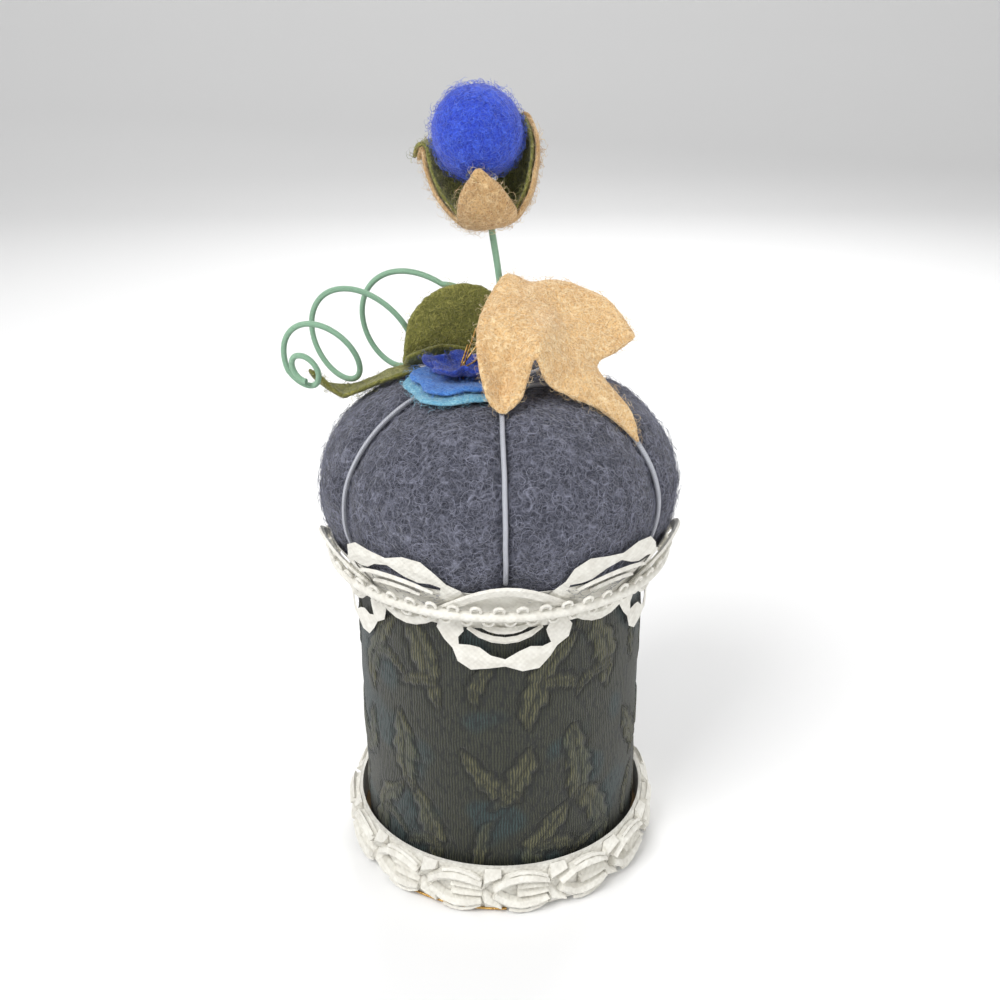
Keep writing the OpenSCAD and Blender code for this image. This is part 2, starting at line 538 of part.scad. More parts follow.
// Stem: rises out of the cushion, curves and runs up the bud's axis into the ball
stem_r = stem_wire_r + stem_wrap_t;
stem_low = cushion_height(stem_foot[0], stem_foot[1]) - wire_depth + 1;
stem_path = concat(
    [[stem_foot[0], stem_foot[1], stem_low]],
    spline([[stem_foot[0], stem_foot[1], stem_low + wire_depth], [1.3, 3, crown + 6.2], [0.4, 2.2, crown + 17.6],
        bud_axis(-1.6), bud_axis(3), bud_axis(ball_up - 3)], 2));
module stem_wire() color("gray") tube(stem_path, stem_wire_r, 6);
module hollow_tube(path, r, bore, sides, start) difference() {
    tube(path, r, sides, start);
    tube(concat([path[0] - tangent(path, 0) * 0.01], [for (i = [1 : len(path) - 2]) path[i]],
        [path[len(path) - 1] + tangent(path, len(path) - 1) * 0.01]), bore, sides, start);
}
module stem_wrap() color([0.55, 0.68, 0.58]) hollow_tube(stem_path, stem_r, stem_wire_r, 6, [0, 1, 0]);

// Tendril: a helix about a bent axis, whose radius shrinks turn by turn to a tight end coil
tendril_heading = 236;
tendril_dip = 16.3;
tendril_phase = 321.6;
axis_bend = [[-17.5, 15.8, crown + 5.4], [-37.3, 13, crown + 3.7], [-43.8, -1.4, crown - 1.3]];
axis_turns = 2.42;
end_drift = [-0.5, -1.7, -0.6];
tendril_radii = [[0, 12.1], [0.6, 11.7], [1.2, 11.04], [1.9, 9.1], [2.42, 6.8], [2.75, 4.3], [3.1, 3.3], [3.8, 2.7]];
function axis_at(turn) =
    let (s = min(turn / axis_turns, 1))
    (1 - s) * (1 - s) * axis_bend[0] + 2 * s * (1 - s) * axis_bend[1] + s * s * axis_bend[2]
        + max(turn - axis_turns, 0) * end_drift;
function helix_at(turn) =
    let (h = tendril_heading, d = tendril_dip, along = [cos(h) * cos(d), sin(h) * cos(d), -sin(d)],
        side = unit(cross(along, [0, 0, 1])), rise = cross(side, along), a = tendril_phase + 360 * turn)
    axis_at(turn) + lookup(turn, tendril_radii) * (cos(a) * rise + sin(a) * side);
tendril_low = cushion_height(tendril_foot[0], tendril_foot[1]) - wire_depth + 1;
rings_per_turn = 24;
helix_rings = ceil(tendril_turns * rings_per_turn);
tendril_helix = [for (i = [0 : helix_rings]) helix_at(i / rings_per_turn)];
tendril_rise = spline([[tendril_foot[0], tendril_foot[1], tendril_low + wire_depth], [-3, 11, crown + 3.2],
    [-7, 11, crown + 11], tendril_helix[0]], 3);
tendril_path = concat([[tendril_foot[0], tendril_foot[1], tendril_low]],
    [for (i = [0 : len(tendril_rise) - 2]) tendril_rise[i]], tendril_helix);
tendril_r = tendril_wire_r + tendril_wrap_t;
module tendril_wire() color("gray") tube(tendril_path, tendril_wire_r, 6);
module tendril_wrap() color([0.55, 0.68, 0.58])
    hollow_tube(tendril_path, tendril_r, tendril_wire_r, 6, [0, 1, 0]);

// Least gap between points of the tendril that are more than half a turn apart
tendril_gap = min([for (i = [0 : len(tendril_path) - 1]) for (j = [i + 12 : 1 : len(tendril_path) - 1])
    norm(tendril_path[i] - tendril_path[j])]) - 2 * tendril_r;
echo(tendril_gap = tendril_gap);

base_pad();
base_disc();
core_tube();
ballast();
tube_packing();
tube_lid();
brocade_sleeve();
cushion_stuffing();
cushion_cover();
crease_threads();
centre_tie();
neck_ribbon();
neck_leaf_chain();
neck_striped_gimp();
neck_ribbed_crescents();
neck_white_cord();
neck_picots();
foot_tape();
foot_blue_chevrons();
foot_bronze_chevrons();
foot_bead_edges();
foot_gold_edge();
flower_aqua_petals();
flower_blue_petals();
flower_navy_petals();
flower_stamens();
green_leaf_upright();
green_leaf_lying();
tan_leaf();
bud_ball();
calyx_inner();
calyx_outer();
stem_wire();
stem_wrap();
tendril_wire();
tendril_wrap();
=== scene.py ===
# Looks for the tall pincushion: felt cushion on a brocade drum, felt flower, leaves, bud; the lace and braid keep the
# part's shapes and plain finishes.
# Sizes are in millimetres until a mesh is made, and azimuths run from -Y towards +X, as in the part's source.
import math

import bpy
import numpy as np
from mathutils import Matrix, Vector, noise


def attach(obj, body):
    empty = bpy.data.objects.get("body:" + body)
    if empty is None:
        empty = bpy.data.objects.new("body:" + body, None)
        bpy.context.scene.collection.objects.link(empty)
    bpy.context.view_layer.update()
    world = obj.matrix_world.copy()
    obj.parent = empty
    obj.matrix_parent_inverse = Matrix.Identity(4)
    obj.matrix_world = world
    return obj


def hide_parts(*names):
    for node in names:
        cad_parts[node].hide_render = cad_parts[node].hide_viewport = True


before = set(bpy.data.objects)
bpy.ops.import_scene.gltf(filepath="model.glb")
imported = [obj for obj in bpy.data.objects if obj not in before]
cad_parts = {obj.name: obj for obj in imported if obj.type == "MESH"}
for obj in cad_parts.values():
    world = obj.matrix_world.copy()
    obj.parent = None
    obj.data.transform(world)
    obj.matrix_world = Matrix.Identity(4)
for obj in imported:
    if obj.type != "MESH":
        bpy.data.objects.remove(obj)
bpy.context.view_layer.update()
scene = bpy.context.scene
MM = 0.001

# ---------------------------------------------------------------- camera and light

CAMERA_AT = (0.0003, -0.262, 0.207)
CAMERA_DIP = 23.7
CAMERA_ROLL = -0.35


def set_camera():
    dip, roll = math.radians(CAMERA_DIP), math.radians(CAMERA_ROLL)
    right, ahead = Vector((1, 0, 0)), Vector((0, math.cos(dip), -math.sin(dip)))
    up = right.cross(ahead)
    columns = (math.cos(roll) * right + math.sin(roll) * up, math.cos(roll) * up - math.sin(roll) * right, -ahead)
    lens = bpy.data.cameras.new("camera")
    lens.sensor_width, lens.lens, lens.clip_start = 36, 42.88, 0.01
    camera = bpy.data.objects.new("camera", lens)
    camera.matrix_world = Matrix.Translation(CAMERA_AT) @ Matrix(columns).transposed().to_4x4()
    scene.collection.objects.link(camera)
    scene.camera = camera


def set_lamp(name, place, size, watts, tint=(1, 1, 1)):
    light = bpy.data.lights.new(name, "AREA")
    light.size, light.energy, light.color = size, watts, tint
    lamp = bpy.data.objects.new(name, light)
    lamp.location = place
    lamp.rotation_euler = (Vector((0, 0, 0.09)) - Vector(place)).to_track_quat("-Z", "Y").to_euler()
    scene.collection.objects.link(lamp)


set_camera()
scene.view_settings.view_transform = "Standard"
set_lamp("key", (-0.42, -0.48, 0.72), 0.45, 6.5)
set_lamp("fill", (0.62, -0.42, 0.35), 0.7, 2.4)
set_lamp("rim", (0.1, 0.65, 0.6), 0.5, 3.5)


# ---------------------------------------------------------------- node trees

class Value:
    """A socket that takes part in Python arithmetic, one Math node for each sign."""

    def __init__(self, tree, socket):
        self.tree, self.socket = tree, socket

    def maths(self, operation, *others):
        return self.tree.add("ShaderNodeMath", self, *others, operation=operation)

    def __add__(self, other):
        return self.maths("ADD", other)

    def __sub__(self, other):
        return self.maths("SUBTRACT", other)

    def __rsub__(self, other):
        return self.tree.add("ShaderNodeMath", other, self, operation="SUBTRACT")

    def __mul__(self, other):
        return self.maths("MULTIPLY", other)

    def __truediv__(self, other):
        return self.maths("DIVIDE", other)

    def __abs__(self):
        return self.maths("ABSOLUTE")

    __radd__, __rmul__ = __add__, __mul__

    def clip(self, low=0.0, high=1.0):
        return self.maths("MAXIMUM", low).maths("MINIMUM", high)

    def band(self, low, high):
        """0 below low, 1 above high, smooth between."""
        return self.tree.add("ShaderNodeMapRange", self, low, high, 0.0, 1.0, interpolation_type="SMOOTHSTEP")


class Tree:
    """A node tree, built with one method for every kind of node."""

    def __init__(self, owner):
        self.tree = owner

    def add(self, kind, *values, out=0, stops=None, inputs=None, **settings):
        node = self.tree.nodes.new(kind)
        for key, value in settings.items():
            setattr(node, key, value)
        if stops:
            ramp = node.color_ramp.elements
            while len(ramp) < len(stops):
                ramp.new(0.5)
            for element, (place, colour) in zip(ramp, stops):
                element.position, element.color = place, colour
        for key, value in [*enumerate(values), *(inputs or {}).items()]:
            self.feed(node.inputs[key], value)
        return Value(self, node.outputs[out])

    def feed(self, socket, value):
        if isinstance(value, Value):
            self.tree.links.new(value.socket, socket)
        elif value is not None:
            socket.default_value = value

    def other(self, value, out):
        """Another output of the node that made a value."""
        return Value(self, value.socket.node.outputs[out])


def colour(red, green, blue):
    """Linear colour of an sRGB one, 0 to 255."""
    return tuple((c / 255 / 12.92 if c / 255 <= 0.04045 else ((c / 255 + 0.055) / 1.055) ** 2.4)
                 for c in (red, green, blue)) + (1.0,)


class Finish(Tree):
    """A material: its place on the piece in millimetres, and the few inputs that may vary."""

    def __init__(self, name, rough=0.9, sheen=0.0, metal=0.0, lay=False):
        self.material = bpy.data.materials.new(name)
        self.material.use_nodes = True
        super().__init__(self.material.node_tree)
        self.shader = self.tree.nodes["Principled BSDF"]
        self.shader.inputs["Roughness"].default_value = rough
        self.shader.inputs["Metallic"].default_value = metal
        self.shader.inputs["Sheen Weight"].default_value = sheen
        self.shader.inputs["Sheen Roughness"].default_value = 0.4
        where = self.add("ShaderNodeUVMap", uv_map="lay") if lay else \
            self.add("ShaderNodeVectorMath", self.add("ShaderNodeTexCoord", out=3),
                     inputs={"Scale": 1000.0}, operation="SCALE")
        self.place = where

    def moved(self, by, scale=(1, 1, 1)):
        return self.add("ShaderNodeMapping", self.place, by, None, scale)

    def parts(self, vector=None):
        across = self.add("ShaderNodeSeparateXYZ", vector or self.place)
        return across, self.other(across, 1), self.other(across, 2)

    def noise(self, per_mm, detail=2.0, by=(0, 0, 0), scale=(1, 1, 1), bend=0.0):
        return self.add("ShaderNodeTexNoise", self.moved(by, scale), None, per_mm, detail, 0.5,
                        inputs={"Distortion": bend})

    def strands(self, per_mm, width, by=(0, 0, 0), bend=0.6):
        """Thin curly lines, where smooth noise crosses its middle."""
        return (1 - abs(self.noise(per_mm, 1.0, by, bend=bend) - 0.5) / width).clip()

    def wool(self, size, width):
        """Three lays of curly fibres, from 0 to about 1.5."""
        return self.strands(0.42 / size, width, (3, 7, 1)) * 0.7 \
            + self.strands(0.8 / size, width * 1.3, (11, 2, 5)) * 0.5 \
            + self.strands(1.5 / size, width * 1.6, (5, 17, 9)) * 0.35

    def mix(self, share, one, two):
        return self.add("ShaderNodeMix", data_type="RGBA", out=2, inputs={0: share, 6: one, 7: two})

    def paint(self, base, height=None, depth=0.1, rough=None, metal=None):
        """Joins colour, and a bump of so many millimetres, to the shader."""
        self.feed(self.shader.inputs["Base Color"], base)
        self.feed(self.shader.inputs["Roughness"], rough)
        self.feed(self.shader.inputs["Metallic"], metal)
        if height is not None:
            bump = self.add("ShaderNodeBump", 1.0, depth * MM, inputs={"Height": height})
            self.feed(self.shader.inputs["Normal"], bump)
        return self.material


# ---------------------------------------------------------------- finishes

def felt(name, body, light, dark, size=1.0, depth=0.16):
    """Felted wool: mottled body, pale fibres over it, and painted shade in the pits between them."""
    f = Finish(name, 0.95, sheen=0.25)
    fibres = f.wool(size, 0.05)
    pits = f.noise(2.2 / size, 3.0)
    mottle = f.noise(0.22, 2.0, (4, 4, 4))
    tone = f.mix(mottle.band(0.35, 0.65) * 0.35, body, dark)
    # painted shade: the colour darkens where the pits sink, and the bump lowers the same places.
    tone = f.mix(pits.band(0.3, 0.55), dark, tone)
    tone = f.mix((fibres * 0.75).clip(), tone, light)
    return f.paint(tone, fibres + pits * 0.8, depth)


def fibre(name, low, high, rough=0.8):
    """Loose wool hairs, each with its own tone."""
    f = Finish(name, rough, sheen=0.2)
    tone = f.add("ShaderNodeAttribute", attribute_name="tone", out=2)
    return f.paint(f.mix(tone, low, high))


def plain_fabric(name, body, dark, per_mm=2.0, rough=0.85, sheen=0.1, depth=0.06):
    """Close woven or pressed stuff: fine crossing threads over a slow mottle."""
    f = Finish(name, rough, sheen=sheen)
    x, y, z = f.parts()
    weave = (x * per_mm * 6.28).maths("SINE") * (z * per_mm * 6.28).maths("SINE") + f.noise(per_mm) * 0.6
    mottle = f.noise(0.4, 3.0)
    return f.paint(f.mix(mottle.band(0.3, 0.7) * 0.5 + weave * 0.1, body, dark), weave, depth)


def spun(name, low, high, rough=0.75, sheen=0.15, pitch=0.35, slant=0.6, depth=0.06):
    """Thread or cord on its own map: fine plies that run round it at a slant."""
    f = Finish(name, rough, sheen=sheen, lay=True)
    across, along, _ = f.parts()
    plies = ((along / pitch + across * slant / pitch) * 6.283).maths("SINE") * 0.5 + 0.5
    hairs = f.noise(3.0, 2.0, scale=(1, 0.3, 1))
    return f.paint(f.mix((plies * 0.7 + hairs * 0.5).clip(), low, high), plies + hairs * 0.5, depth)


def metal_thread(name, low, high, rough=0.35, metal=0.85):
    f = Finish(name, rough, metal=metal)
    glint = f.noise(2.5, 3.0)
    return f.paint(f.mix(glint.band(0.35, 0.7), low, high), glint, 0.05, rough=glint * 0.3 + rough - 0.1)


FELT_CHARCOAL = felt("charcoal_felt", colour(58, 60, 72), colour(132, 134, 150), colour(34, 35, 44), 1.3, 0.22)
FELT_TAN = felt("tan_felt", colour(222, 184, 130), colour(244, 220, 176), colour(178, 134, 84), 0.9)
FELT_GREEN = felt("green_felt", colour(116, 116, 52), colour(160, 156, 84), colour(76, 78, 32), 0.9)
# painted shade: a darker copy of the tan felt, for the outer calyx in the shade under the ball.
FELT_TAN_SHADED = felt("calyx_tan_felt", colour(196, 158, 108), colour(226, 196, 148), colour(146, 108, 66), 0.9)
FELT_BUD = felt("bud_felt", colour(38, 66, 190), colour(70, 104, 226), colour(22, 40, 140), 1.0)
FELT_AQUA = felt("aqua_felt", colour(112, 176, 204), colour(160, 212, 226), colour(72, 136, 172), 0.8)
FELT_BLUE = felt("blue_felt", colour(60, 120, 200), colour(104, 160, 226), colour(36, 84, 160), 0.8)
FELT_NAVY = felt("navy_felt", colour(24, 50, 144), colour(52, 84, 190), colour(12, 26, 92), 0.8)
FELT_BLACK = felt("black_felt", colour(30, 30, 32), colour(62, 62, 66), colour(14, 14, 16), 1.0)
CARD = plain_fabric("card", colour(176, 148, 112), colour(140, 112, 80), 1.0, sheen=0.0)
GRIT = plain_fabric("grit", colour(120, 116, 110), colour(70, 68, 64), 1.4, sheen=0.0, depth=0.3)
WADDING = plain_fabric("wadding", colour(226, 224, 216), colour(196, 192, 182), 0.7)
STEEL = metal_thread("steel_wire", colour(130, 130, 134), colour(180, 180, 186), 0.3, 1.0)
THREAD_GREY = spun("grey_thread", colour(104, 106, 116), colour(196, 198, 206), 0.45, 0.2, 0.5, 1.0, 0.05)
SAGE = spun("sage_thread", colour(92, 132, 106), colour(156, 192, 164), 0.6, 0.25, 0.2, 0.2, 0.02)
GOLD = metal_thread("gold_thread", colour(150, 108, 50), colour(226, 186, 112))


# ---------------------------------------------------------------- shapes

def polar(a, r, z):
    a = np.radians(np.asarray(a, float))
    return np.stack(np.broadcast_arrays(r * np.sin(a), -r * np.cos(a), z + 0 * a), -1)


def unit(v):
    return v / np.maximum(np.linalg.norm(v, axis=-1, keepdims=True), 1e-9)


def spline(points, steps):
    """Cubic curve through points, or through whole rows of points."""
    p = np.asarray(points, float)
    n = len(p) - 1
    made = []
    for i in range(n):
        a, b, c, d = p[max(i - 1, 0)], p[i], p[i + 1], p[min(i + 2, n)]
        made += [0.5 * (2 * b + (c - a) * s + (2 * a - 5 * b + 4 * c - d) * s * s + (3 * b - a - 3 * c + d) * s ** 3)
                 for s in np.arange(steps) / steps]
    return np.array(made + [p[n]])


def patch(net, steps):
    return spline(spline(net, steps).swapaxes(0, 1), steps).swapaxes(0, 1)


def lumps(points, size, seed=0):
    """Smooth noise from -1 to 1 at each point, with lumps of about that size."""
    shift = Vector((seed * 17.3 + 0.37, seed * 5.1 + 0.61, seed * 9.7 + 0.13))
    flat = np.asarray(points).reshape(-1, 3) / size
    return np.array([noise.noise(Vector(p) + shift) for p in flat]).reshape(np.shape(points)[:-1])


def grid_faces(rows, cols, ring=False, loop=False, start=0):
    """Quads of a grid of points; ring joins its columns round, loop its rows."""
    i, j = np.meshgrid(np.arange(rows if loop else rows - 1), np.arange(cols if ring else cols - 1), indexing="ij")
    a, b = i * cols + j, i * cols + (j + 1) % cols
    c, d = (i + 1) % rows * cols + j, (i + 1) % rows * cols + (j + 1) % cols
    return (np.stack([a, b, d, c], -1).reshape(-1, 4) + start).tolist()


def merged(shapes):
    """One (points, faces, lay) of several."""
    points, faces, lay, start = [], [], [], 0
    for shape in shapes:
        points.append(shape[0])
        faces += [[v + start for v in face] for face in shape[1]]
        lay.append(shape[2] if len(shape) > 2 else np.zeros((len(shape[0]), 2)))
        start += len(shape[0])
    return np.concatenate(points), faces, np.concatenate(lay)


def piece(name, shape, material, level=0):
    """Mesh object from a (points, faces, lay) shape."""
    mesh = bpy.data.meshes.new(name)
    mesh.from_pydata((np.asarray(shape[0]) * MM).tolist(), [], shape[1])
    if len(shape) > 2:
        corners = np.zeros(len(mesh.loops), np.int32)
        mesh.loops.foreach_get("vertex_index", corners)
        mesh.uv_layers.new(name="lay").data.foreach_set("uv", shape[2][corners].astype(np.float32).ravel())
    mesh.materials.append(material)
    mesh.shade_smooth()
    obj = bpy.data.objects.new(name, mesh)
    scene.collection.objects.link(obj)
    if level:
        subdivision = obj.modifiers.new("soften", "SUBSURF")
        subdivision.levels = subdivision.render_levels = level
        obj = plain(obj, name)
    return obj


def plain(obj, name):
    """The object as it is evaluated, as a plain mesh of its own."""
    evaluated = obj.evaluated_get(bpy.context.evaluated_depsgraph_get())
    mesh = bpy.data.meshes.new_from_object(evaluated)
    obj.modifiers.clear()
    bpy.data.objects.remove(obj)
    made = bpy.data.objects.new(name, mesh)
    mesh.name = name
    scene.collection.objects.link(made)
    return made


def settle(obj, slot, *nodes):
    """The finished piece rides on the body and stands for its nodes, which it hides; the slot is not used."""
    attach(obj, "root")
    if nodes:
        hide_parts(*nodes)
    return obj


def frames(path, start, closed=False):
    """Tangents, and directions carried along a path without twist."""
    if closed:
        tangents = unit(np.roll(path, -1, 0) - np.roll(path, 1, 0))
    else:
        tangents = unit(np.gradient(path, axis=0))
    ups = []
    v = np.asarray(start, float)
    for t in tangents:
        v = unit(v - t * (v @ t))
        ups.append(v)
    return tangents, np.array(ups)


def tube(path, radius, sides=8, start=(0, 1, 0), closed=False):
    """Round tube along a path, its lay in millimetres round and along it."""
    path = np.asarray(path, float)
    tangents, ups = frames(path, start, closed)
    outs = np.cross(tangents, ups)
    turn = np.arange(sides) * 2 * math.pi / sides
    radius = np.broadcast_to(radius, len(path))[:, None, None]
    points = path[:, None] + radius * (np.cos(turn)[None, :, None] * ups[:, None]
                                       + np.sin(turn)[None, :, None] * outs[:, None])
    run = np.concatenate([[0], np.cumsum(np.linalg.norm(np.diff(path, axis=0), axis=1))])
    lay = np.stack(np.broadcast_arrays((turn * radius[:, 0, 0].mean())[None], run[:, None]), -1)
    faces = grid_faces(len(path), sides, ring=True, loop=closed)
    points, lay = points.reshape(-1, 3), lay.reshape(-1, 2)
    if not closed:
        count = len(points)
        faces += [[count, (j + 1) % sides, j] for j in range(sides)]
        faces += [[count + 1, count - sides + j, count - sides + (j + 1) % sides] for j in range(sides)]
        points = np.concatenate([points, path[[0, -1]]])
        lay = np.concatenate([lay, lay[[0, -1]]])
    return points, faces, lay


def felt_shape(grid, thick, ring=False, ragged=0.25, swell=0.16, seed=0):
    """Felt about a grid of points: lumpy, with a soft and slightly ragged rim."""
    grid = np.array(grid, float)
    rows, cols = grid.shape[:2]
    if ring:
        along = np.roll(grid, -1, 1) - np.roll(grid, 1, 1)
    else:
        along = np.gradient(grid, axis=1)
    normal = unit(np.cross(along, np.gradient(grid, axis=0)))
    grid += normal * (lumps(grid, 3.5, seed) * swell + lumps(grid, 1.1, seed + 1) * swell * 0.35)[..., None]
    if ring:
        loops = [[(rows - 1, j) for j in range(cols)][::-1], [(0, j) for j in range(cols)]]
    else:
        loops = [[(0, j) for j in range(cols - 1)] + [(i, cols - 1) for i in range(rows - 1)]
                 + [(rows - 1, j) for j in range(cols - 1, 0, -1)] + [(i, 0) for i in range(rows - 1, 0, -1)]]
    half = np.full((rows, cols), thick / 2) * (1 + 0.16 * lumps(grid, 2.0, seed + 2))
    rims = []
    for loop in loops:
        i, j = np.array(loop).T
        edge = grid[i, j]
        out = unit(np.cross(np.roll(edge, -1, 0) - np.roll(edge, 1, 0), normal[i, j]))
        grid[i, j] += out * (ragged * (lumps(edge, 1.3, seed + 3) + 0.6 * lumps(edge, 0.5, seed + 4)))[:, None]
        half[i, j] *= 0.62
        rims.append((i * cols + j, grid[i, j] + out * thick * 0.22))
    offset = normal * half[..., None]
    count = rows * cols
    points = [(grid + offset).reshape(-1, 3), (grid - offset).reshape(-1, 3)]
    faces = grid_faces(rows, cols, ring)
    faces += [[v + count for v in face[::-1]] for face in faces]
    start = 2 * count
    for index, rim in rims:
        n = len(index)
        for k in range(n):
            m = (k + 1) % n
            faces.append([count + index[k], count + index[m], start + m, start + k])
            faces.append([start + k, start + m, index[m], index[k]])
        points.append(rim)
        start += n
    return np.concatenate(points), [[int(v) for v in face] for face in faces]


# ---------------------------------------------------------------- geometry trees

def tree_of(name, sockets):
    """A geometry tree with named inputs; the first is the geometry that it works on."""
    group = bpy.data.node_groups.new(name, "GeometryNodeTree")
    group.interface.new_socket("Geometry", in_out="INPUT", socket_type="NodeSocketGeometry")
    group.interface.new_socket("Geometry", in_out="OUTPUT", socket_type="NodeSocketGeometry")
    for label, kind in sockets:
        group.interface.new_socket(label, in_out="INPUT", socket_type="NodeSocket" + kind)
    tree = Tree(group)
    given = group.nodes.new("NodeGroupInput")
    return tree, [Value(tree, socket) for socket in given.outputs]


def close_tree(tree, geometry, material):
    """Every tree ends in real faces with their material."""
    solid = tree.add("GeometryNodeRealizeInstances", geometry)
    dressed = tree.add("GeometryNodeSetMaterial", solid, None, material)
    end = tree.tree.nodes.new("NodeGroupOutput")
    tree.feed(end.inputs[0], dressed)
    return tree.tree


def fibre_tree():
    """Scatters loose hairs over a surface."""
    tree, (surface, density, seed, least, most, tilt, hairs, material, _) = tree_of("fibres", [
        ("Hairs per square metre", "Float"), ("Seed", "Int"), ("Least scale", "Float"), ("Most scale", "Float"),
        ("Tilt", "Float"), ("Hairs", "Collection"), ("Material", "Material")])
    dots = tree.add("GeometryNodeDistributePointsOnFaces", surface, inputs={"Density": density, "Seed": seed})
    turn = tree.add("FunctionNodeRandomValue", inputs={"Max": 6.2832, "Seed": 5}, data_type="FLOAT", out=1)
    lean = tree.add("FunctionNodeRandomValue", inputs={"Max": tilt, "Seed": 6}, data_type="FLOAT", out=1)
    size = tree.add("FunctionNodeRandomValue", inputs={2: least, 3: most, "Seed": 7}, data_type="FLOAT", out=1)
    euler = tree.add("FunctionNodeEulerToRotation", tree.add("ShaderNodeCombineXYZ", lean, 0.0, turn))
    turned = tree.add("FunctionNodeRotateRotation", tree.other(dots, "Rotation"), euler, rotation_space="LOCAL")
    kinds = tree.add("GeometryNodeCollectionInfo", hairs, True, True)
    placed = tree.add("GeometryNodeInstanceOnPoints", dots, None, kinds, True, None, turned, size)
    tone = tree.add("FunctionNodeRandomValue", inputs={"Seed": 8}, data_type="FLOAT", out=1)
    toned = tree.add("GeometryNodeStoreNamedAttribute", placed, None, "tone", tone, data_type="FLOAT",
                     domain="INSTANCE")
    return close_tree(tree, toned, material)


def row_tree():
    """Sets copies of one object evenly along a path, their tops along its attribute out."""
    tree, (path, count, sway, seed, item, material, _) = tree_of("row", [
        ("Count", "Int"), ("Sway", "Float"), ("Seed", "Int"), ("Item", "Object"), ("Material", "Material")])
    curve = tree.add("GeometryNodeMeshToCurve", path)
    dots = tree.add("GeometryNodeCurveToPoints", curve, count, mode="COUNT")
    out = tree.add("GeometryNodeInputNamedAttribute", "out", data_type="FLOAT_VECTOR")
    size = tree.add("GeometryNodeInputNamedAttribute", "size", data_type="FLOAT_VECTOR")
    turned = tree.add("FunctionNodeAxesToRotation", tree.other(dots, "Tangent"), out,
                      primary_axis="X", secondary_axis="Z")
    low = tree.add("ShaderNodeCombineXYZ", sway * -1, sway * -1, sway * -1)
    high = tree.add("ShaderNodeCombineXYZ", sway, sway, sway)
    loose = tree.add("FunctionNodeRandomValue", low, high, inputs={"Seed": seed}, data_type="FLOAT_VECTOR")
    turned = tree.add("FunctionNodeRotateRotation", turned, tree.add("FunctionNodeEulerToRotation", loose),
                      rotation_space="LOCAL")
    copy = tree.add("GeometryNodeObjectInfo", item, True, out="Geometry")
    placed = tree.add("GeometryNodeInstanceOnPoints", dots, None, copy, False, None, turned, size)
    return close_tree(tree, placed, material)


FIBRES, ROW = fibre_tree(), row_tree()


def grown(name, base, group, keep=True, **values):
    """Runs a geometry tree on an object and returns the result as a plain mesh."""
    modifier = base.modifiers.new("grow", "NODES")
    modifier.node_group = group
    for item in group.interface.items_tree:
        label = item.name.lower().replace(" ", "_")
        if item.in_out == "INPUT" and label in values:
            modifier[item.identifier] = values[label]
    evaluated = base.evaluated_get(bpy.context.evaluated_depsgraph_get())
    mesh = bpy.data.meshes.new_from_object(evaluated)
    base.modifiers.remove(modifier)
    if not keep:
        bpy.data.objects.remove(base)
    mesh.name = name
    made = bpy.data.objects.new(name, mesh)
    scene.collection.objects.link(made)
    return made


def hair_kit(name, kinds, length, curl, rise, radius, seed):
    """A hidden collection of a few curly hairs that the fibre tree picks from."""
    rng = np.random.default_rng(seed)
    kit = bpy.data.collections.new(name)
    for kind in range(kinds):
        steps = 6
        heading = np.cumsum(rng.normal(rng.choice([-1, 1]) * curl, curl * 0.5, steps))
        reach = length * rng.uniform(0.6, 1.3)
        flat = np.stack([np.cos(heading), np.sin(heading)], -1).cumsum(0) * reach / steps
        flat = np.concatenate([[[0, 0]], flat])
        s = np.linspace(0, 1, steps + 1)
        height = rise * rng.uniform(0.5, 1.2) * np.sin(np.pi * s ** rng.uniform(0.55, 0.9)) - 0.06
        if rng.random() < 0.35:
            height[-2:] += rise * rng.uniform(0.3, 1.0)
        path = np.concatenate([flat, height[:, None]], 1)
        shape = tube(path, radius * np.array([1, 1, 1, 1, 0.9, 0.7, 0.3]), 3, (0, 0, 1))
        mesh = bpy.data.meshes.new(f"{name}_{kind}")
        mesh.from_pydata((shape[0] * MM).tolist(), [], shape[1])
        mesh.shade_smooth()
        kit.objects.link(bpy.data.objects.new(f"{name}_{kind}", mesh))
    return kit


def hairs_on(name, base, kit, per_cm2, material, seed, scale=(0.7, 1.3), tilt=0.3):
    return grown(name, base, FIBRES, hairs_per_square_metre=per_cm2 * 1e4, seed=seed, least_scale=scale[0],
                 most_scale=scale[1], tilt=tilt, hairs=kit, material=material)


# ---------------------------------------------------------------- sizes shared with the part

DRUM_R, DRUM_TOP, BASE_TOP = 35.0, 82.0, 3.2
CUSHION_R, CUSHION_HALF = 42.6, 29.5
SEGMENTS, CREASE_DEPTH, DIMPLE_DEPTH, THREAD_R = 6, 3.0, 7.5, 0.65
CREASE_SPREAD, DIMPLE_SPREAD, FRONT_TURN = 7.0, 15.0, 2.0
CUSHION_Z = DRUM_TOP + 16.3
CROWN = CUSHION_Z + CUSHION_HALF
FOOT_ANGLE = -math.degrees(math.asin((CUSHION_Z - DRUM_TOP - 0.3) / CUSHION_HALF))
CREASES = FRONT_TURN + 360 / SEGMENTS * np.arange(SEGMENTS)


def off_crease(a):
    off = np.mod(np.asarray(a, float) - FRONT_TURN, 360 / SEGMENTS)
    return np.minimum(off, 360 / SEGMENTS - off)


def dimple(r):
    return DIMPLE_DEPTH * np.exp(-(r / DIMPLE_SPREAD) ** 2)


